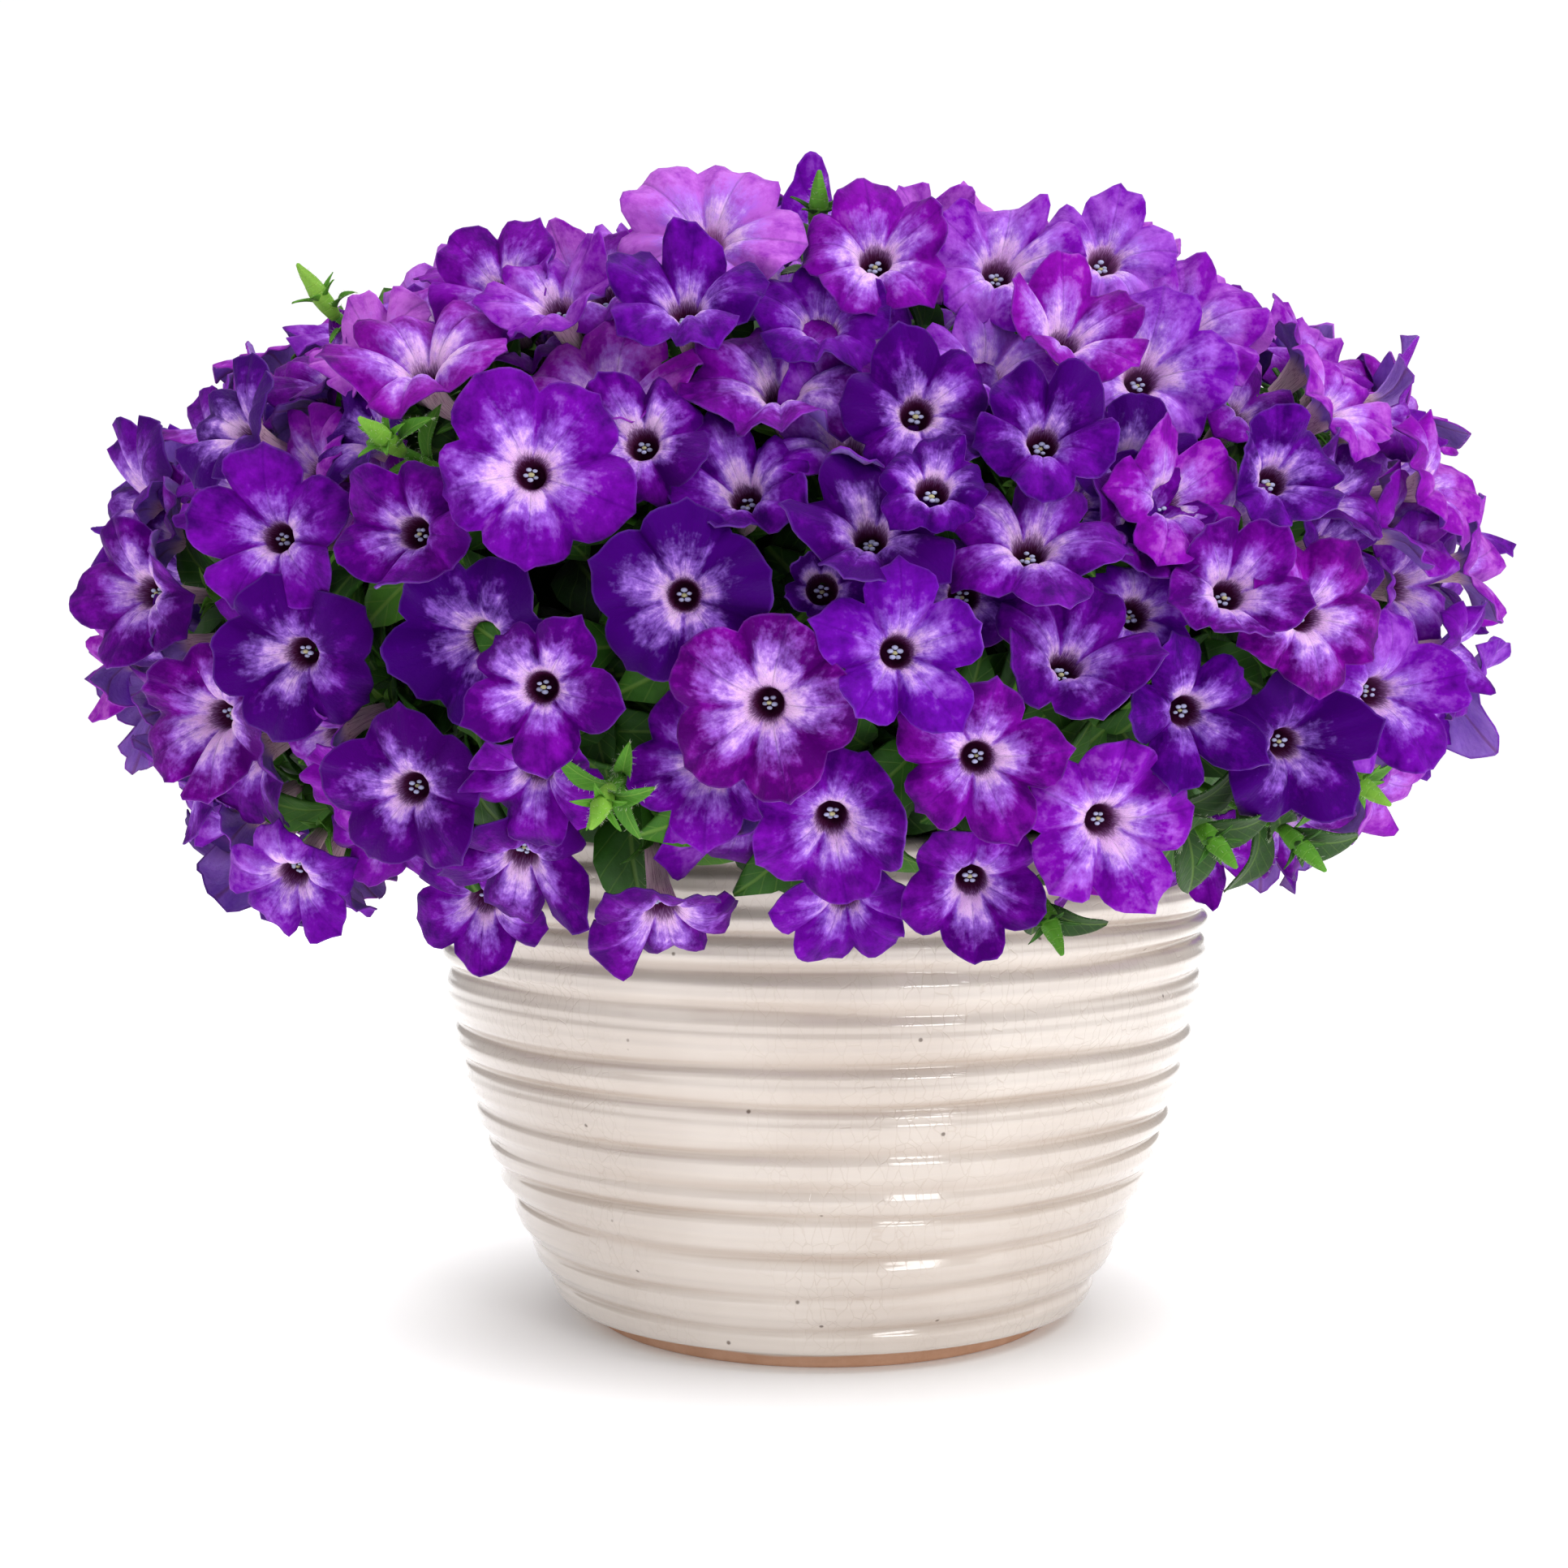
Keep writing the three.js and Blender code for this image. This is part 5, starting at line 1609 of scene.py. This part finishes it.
@dataclass
class Crown:
    """The plant's dense inside: a core painted the darkest green as shade, and layers of leaves that stand
    out of it, the deeper ones painted darker as shade.
    """

    green: Material
    leaf: LeafPattern = field(default_factory=lambda: LeafPattern(6, 3))
    core: float = 0.9
    # Each layer: depth, leaf count, leaf length and lightness. The lightness is painted shade: the deeper
    # the layer, the darker its leaves.
    layers: tuple[tuple[float, int, float, float], ...] = (
        (0.93, 400, 42.0, 0.08),
        (1.03, 400, 44.0, 0.16),
        (1.14, 360, 40.0, 0.27),
    )
    stem: tuple[float, float] = (100.0, 205.0)
    seed: int = 4471

    def build(self) -> None:
        """Builds the crown."""
        sketch = Sketch()
        # Painted shade: the core has no tone mark, so it takes the darkest green, standing in for the deep
        # shade inside the plant.
        sketch.add(self.heart(), self.green)
        heights = enumerate(np.linspace(*self.stem, 9))
        path = np.array([[0.3 * math.sin(k), 0.4 * k % 1, z] for k, z in heights])
        sketch.add(tube(path, np.linspace(5.5, 6.9, 9), 14, 0.2), self.green)
        draws = np.random.default_rng(self.seed)
        for layer in self.layers:
            self.layer(sketch, draws, *layer)
        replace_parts(sketch.piece("crown_fine", "foliage"), "crown")

    def heart(self) -> Shape:
        """The core: an ellipsoid cut flat below, knobbly all over."""
        wide, _, high = np.array(MOUND.core) * self.core
        low = math.asin((MOUND.core_bottom - MOUND.centre[2]) / MOUND.core[2])
        angles, rings = np.arange(64) * TURN / 64, []
        for height in np.linspace(low, math.pi / 2 - 0.05, 24):
            bumps = 1 + 0.035 * np.sin(9 * angles + 14 * height) * np.cos(13 * height)
            level = circle(angles, X, Y) * (wide * math.cos(height) * bumps)[:, None]
            rings.append(level + Z * high * math.sin(height) + MOUND.centre)
        bottom = [*MOUND.centre[:2], rings[0][0, 2]]
        return lofted(rings, bottom, Z * high + MOUND.centre, place=STEM_PLACE)

    def layer(
        self, sketch: Sketch, draws: Draws, depth: float, count: int, length: float, light: float
    ) -> None:
        """One layer of leaves, spread evenly round the core."""
        size = np.array(MOUND.core) * depth
        lowest = (MOUND.core_bottom + 6 - MOUND.centre[2]) / size[2]
        golden = math.pi * (3 - math.sqrt(5))
        for k in range(count):
            outward = on_sphere(k * golden + depth * 9, 1 - (k + 0.5) / count * (1 - lowest))
            flat = turned(across_of(outward), outward, draws.uniform(0, TURN))
            tilt = math.radians(draws.uniform(15, 70))
            ahead = flat * math.cos(tilt) + outward * math.sin(tilt)
            long, shade = length * draws.uniform(0.7, 1.2), light + draws.normal(0, 0.06)
            root = outward * size + MOUND.centre
            sketch.add(self.leaf.grown(root, ahead, outward, long, shade), self.green)


# ---- The pot and its soil -------------------------------------------------------------------------


@dataclass
class Pot:
    """The thrown pot: a spun profile, with wavy ribs raised on its wall."""

    glaze: Material
    belly_radius: float = 140
    belly_height: float = 165
    belly_power: float = 2.05
    base_of_wall: float = 92
    height: float = 182
    wall: float = 9
    floor: float = 14
    floor_corner: float = 4
    relief: float = 3.7
    swell: float = 1.2
    fine_relief: float = 0.22
    sides: int = 200
    seed: int = 33
    grooves: tuple[float, ...] = (16, 30, 44, 57, 69, 80, 95, 109.5, 128.5, 139.5, 151, 161, 172.5)

    def radius(self, z: Array | float) -> Array | float:
        """The plain outer wall's radius at a height."""
        left = 1 - np.minimum(z / self.belly_height, 1)
        return self.base_of_wall + (self.belly_radius - self.base_of_wall) * (1 - left**self.belly_power)

    def profile(self) -> list[tuple[float, float]]:
        """The section's radii and heights, from the middle of the base, up, over the lip and down."""
        foot = [(0.0, 0.0), (84.0, 0.0), (85.1, 0.4), (85.5, 1.5), (86.6, 4.4), (88.4, 5.6), (90.6, 6.6)]
        wall = [(self.radius(z), z) for z in np.arange(8.0, self.height - 3)]
        lip = [(139.6, 179.4), (138.6, 180.9), (137.0, 181.8)]
        lip += [(134.6, 182.0), (132.4, 181.4), (131.2, 179.8)]
        inside = [(self.radius(z) - self.wall, z) for z in (176.0, 171.0, 166.0, 115.0, 50.0)]
        corner = (self.radius(self.floor) - self.wall - self.floor_corner, self.floor)
        return [*foot, *wall, *lip, *inside, corner, (0.0, self.floor)]

    def spun(self) -> bpy.types.Object:
        """Draws the section point by point and spins it into the pot."""
        bpy.ops.object.select_all(action="DESELECT")
        bpy.ops.mesh.primitive_plane_add(size=0.001, location=(0, 0, 0))
        pot = bpy.context.object
        pot.name = "pot_fine"
        bpy.ops.object.mode_set(mode="EDIT")
        bpy.ops.mesh.select_all(action="SELECT")
        bpy.ops.mesh.merge(type="CENTER")
        profile = self.profile()
        for (r, z), (next_r, next_z) in zip(profile, profile[1:]):
            step = ((next_r - r) * MM, 0, (next_z - z) * MM)
            bpy.ops.mesh.extrude_region_move(TRANSFORM_OT_translate={"value": step})
        bpy.ops.mesh.select_all(action="SELECT")
        bpy.ops.mesh.spin(steps=self.sides, angle=TURN, center=(0, 0, 0), axis=(0, 0, 1), dupli=False)
        bpy.ops.mesh.select_all(action="SELECT")
        bpy.ops.mesh.remove_doubles(threshold=0.00005)
        bpy.ops.mesh.normals_make_consistent(inside=False)
        bpy.ops.object.mode_set(mode="OBJECT")
        return pot

    def build(self) -> None:
        """Builds the pot and raises its ribs."""
        pot = self.spun()
        points = np.array([vertex.co[:] for vertex in pot.data.vertices]) / MM
        x, y, z = points.T
        r, angle = np.hypot(x, y), np.arctan2(y, x)
        near, depth = self.ribs(z, angle)
        outside = (np.abs(r - self.radius(z)) < 2.5) & (z > 5.4)
        lean = 0.45 * np.sin(2 * angle + 0.6) * np.sin(z / 60)
        moved = r + np.where(outside, depth + lean, 0)
        points[:, :2] *= np.where(r > 1, moved / np.maximum(r, 1), 1)[:, None]
        pot.data.vertices.foreach_set("co", (points * MM).ravel())
        pot.data.update()
        groove = np.where(outside, near, 0)[:, None] * X
        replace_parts(dressed(pot, [self.glaze], {"place": groove}), "pot")

    def ribs(self, z: Array, angle: Array) -> tuple[Array, Array]:
        """The relief of the ribs.

        Args:
            z: Heights.
            angle: Angles round the pot.

        Returns:
            How near each place is to the bottom of a groove, from 0 to 1, and the relief there.
        """
        draws = np.random.default_rng(self.seed)
        lines, strengths = [], []
        for groove in self.grooves:
            a, b, c = draws.uniform(0, ANY_TURN, 3)
            sway = 1.1 * np.sin(angle + a) + 0.8 * np.sin(3 * angle + b) + 0.35 * np.sin(7 * angle + c)
            lines.append(groove + sway)
            strengths.append(0.78 + 0.3 * np.sin(2 * angle + b + 1) * np.cos(angle * 3 + a))
        lines = [lines[0] - 12, *lines, lines[-1] + 12]
        near, depth = np.zeros((2, len(z)))
        for below, line, above, strength in zip(lines, lines[1:], lines[2:], strengths):
            gap = np.where(z > line, above - line, line - below)
            sharp = bell((z - line) / np.where(z > line, 2.6, 1.7)) * strength
            round_off = np.clip(1 - 2 * np.abs(z - line) / gap, 0, 1) ** 1.7
            near = np.maximum(near, sharp)
            depth = np.minimum(depth, -self.relief * (0.3 * sharp + 0.7 * round_off * strength))
        fine = np.sin(z * 1.5 + 1.3 * np.sin(angle + 1) + 0.7 * np.sin(3 * angle))
        return near, depth + self.swell + self.fine_relief * fine


@dataclass
class Soil:
    """Potting soil: the model's own solid, with crumbs on its top."""

    finish: Material
    top: float = 167.5
    reach: float = 125
    crumbs: int = 420
    seed: int = 61

    def build(self, soil: bpy.types.Object) -> None:
        """Dresses the model's soil and scatters its crumbs."""
        soil.data.materials.clear()
        soil.data.materials.append(self.finish)
        points, faces = ball(1, (1, 1, 1))
        draws = np.random.default_rng(self.seed)
        sketch = Sketch()
        for _ in range(self.crumbs):
            r, a = self.reach * math.sqrt(draws.uniform(0.01, 1)), draws.uniform(0, ANY_TURN)
            size = draws.uniform(1.0, 3.0) * draws.uniform(0.6, 1.0, 3)
            middle = np.array([r * math.cos(a), r * math.sin(a), self.top + draws.uniform(-0.5, 1.0)])
            sketch.add(Shape(points * size + middle, *faces, {}), self.finish)
        sketch.piece("soil_crumbs", "soil")


# ---- The studio -----------------------------------------------------------------------------------


def aimed(name: str, data: bpy.types.ID, place: Vector, way: Vector) -> bpy.types.Object:
    """A camera or a lamp at a place, turned to look a way."""
    item = bpy.data.objects.new(name, data)
    item.location = place
    item.rotation_mode = "QUATERNION"
    item.rotation_quaternion = way.to_track_quat("-Z", "Y")
    bpy.context.scene.collection.objects.link(item)
    return item


@dataclass(frozen=True)
class Studio:
    """The camera at the photograph's angle, a pale floor that glows as painted light, less near the pot,
    and soft, square lamps.
    """

    floor_size: float = 30.0
    daylight: float = 0.4
    backdrop: float = 1.02
    target: tuple[float, float, float] = (0.0, 0.0, 0.22)
    lamps: tuple[tuple[str, tuple[float, float, float], float, float], ...] = (
        ("key", (0.78, -1.0, 1.3), 0.5, 9.0),
        ("glint", (0.64, -1.12, 0.45), 0.36, 4.2),
        ("fill", (-1.3, -0.9, 0.9), 1.2, 4.0),
        ("top", (0.0, -0.1, 1.7), 1.3, 13.0),
        ("rim", (0.2, 1.3, 1.3), 1.2, 8.0),
    )

    def build(self) -> None:
        """Builds it all. The lens comes from the focal length in the photograph's pixels."""
        scene = bpy.context.scene
        view = bpy.data.cameras.new("camera")
        view.sensor_width = VIEW.sensor
        view.lens = VIEW.focal / (2 * VIEW.middle) * VIEW.sensor
        scene.camera = aimed("camera", view, Vector(VIEW.eye()) * MM, Vector(VIEW.ahead()))
        bpy.ops.object.select_all(action="DESELECT")
        bpy.ops.mesh.primitive_plane_add(size=self.floor_size, location=(0, 0, 0))
        floor = bpy.context.object
        floor.name = "studio_floor"
        floor.data.materials.append(FloorFinish().build())
        for name, place, size, power in self.lamps:
            data = bpy.data.lights.new(name, "AREA")
            data.size = size
            data.energy = power
            aimed(name, data, Vector(place), Vector(self.target) - Vector(place))
        scene.world = bpy.data.worlds.new("studio")
        scene.world.use_nodes = True
        tree = scene.world.node_tree
        seen = Wire(add_node(tree, "ShaderNodeLightPath").outputs["Is Camera Ray"])
        sky = tree.nodes["Background"]
        feed(sky.inputs["Color"], WHITE)
        feed(sky.inputs["Strength"], seen * (self.backdrop - self.daylight) + self.daylight)
        scene.view_settings.view_transform = "Standard"


def main() -> None:
    """Builds the studio and every piece."""
    logging.basicConfig(level=logging.INFO, format="%(message)s")
    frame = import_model()
    Studio().build()
    petal, green = PetalFinish().build(), LeafFinish().build()
    pollen, hair = PollenFinish().build(), HairFinish().build()
    shoots = Shoots(green, hair)
    field_of_blooms = BloomField()
    blooms = field_of_blooms.place(shoots.points())
    knobs = field_of_blooms.gather(blooms)
    blooms += field_of_blooms.enrich(blooms, shoots.points())
    field_of_blooms.ease(blooms)
    field_of_blooms.spread(blooms)
    LOG.info("%d blooms in %d sprays", len(blooms), len(knobs))
    Sprays(petal, green, pollen, hair).build(blooms, knobs)
    shoots.build()
    Crown(green).build()
    Pot(GlazeFinish().build()).build()
    Soil(SoilFinish().build()).build(frame["nodes"]["soil"])


if __name__ == "__main__":
    main()
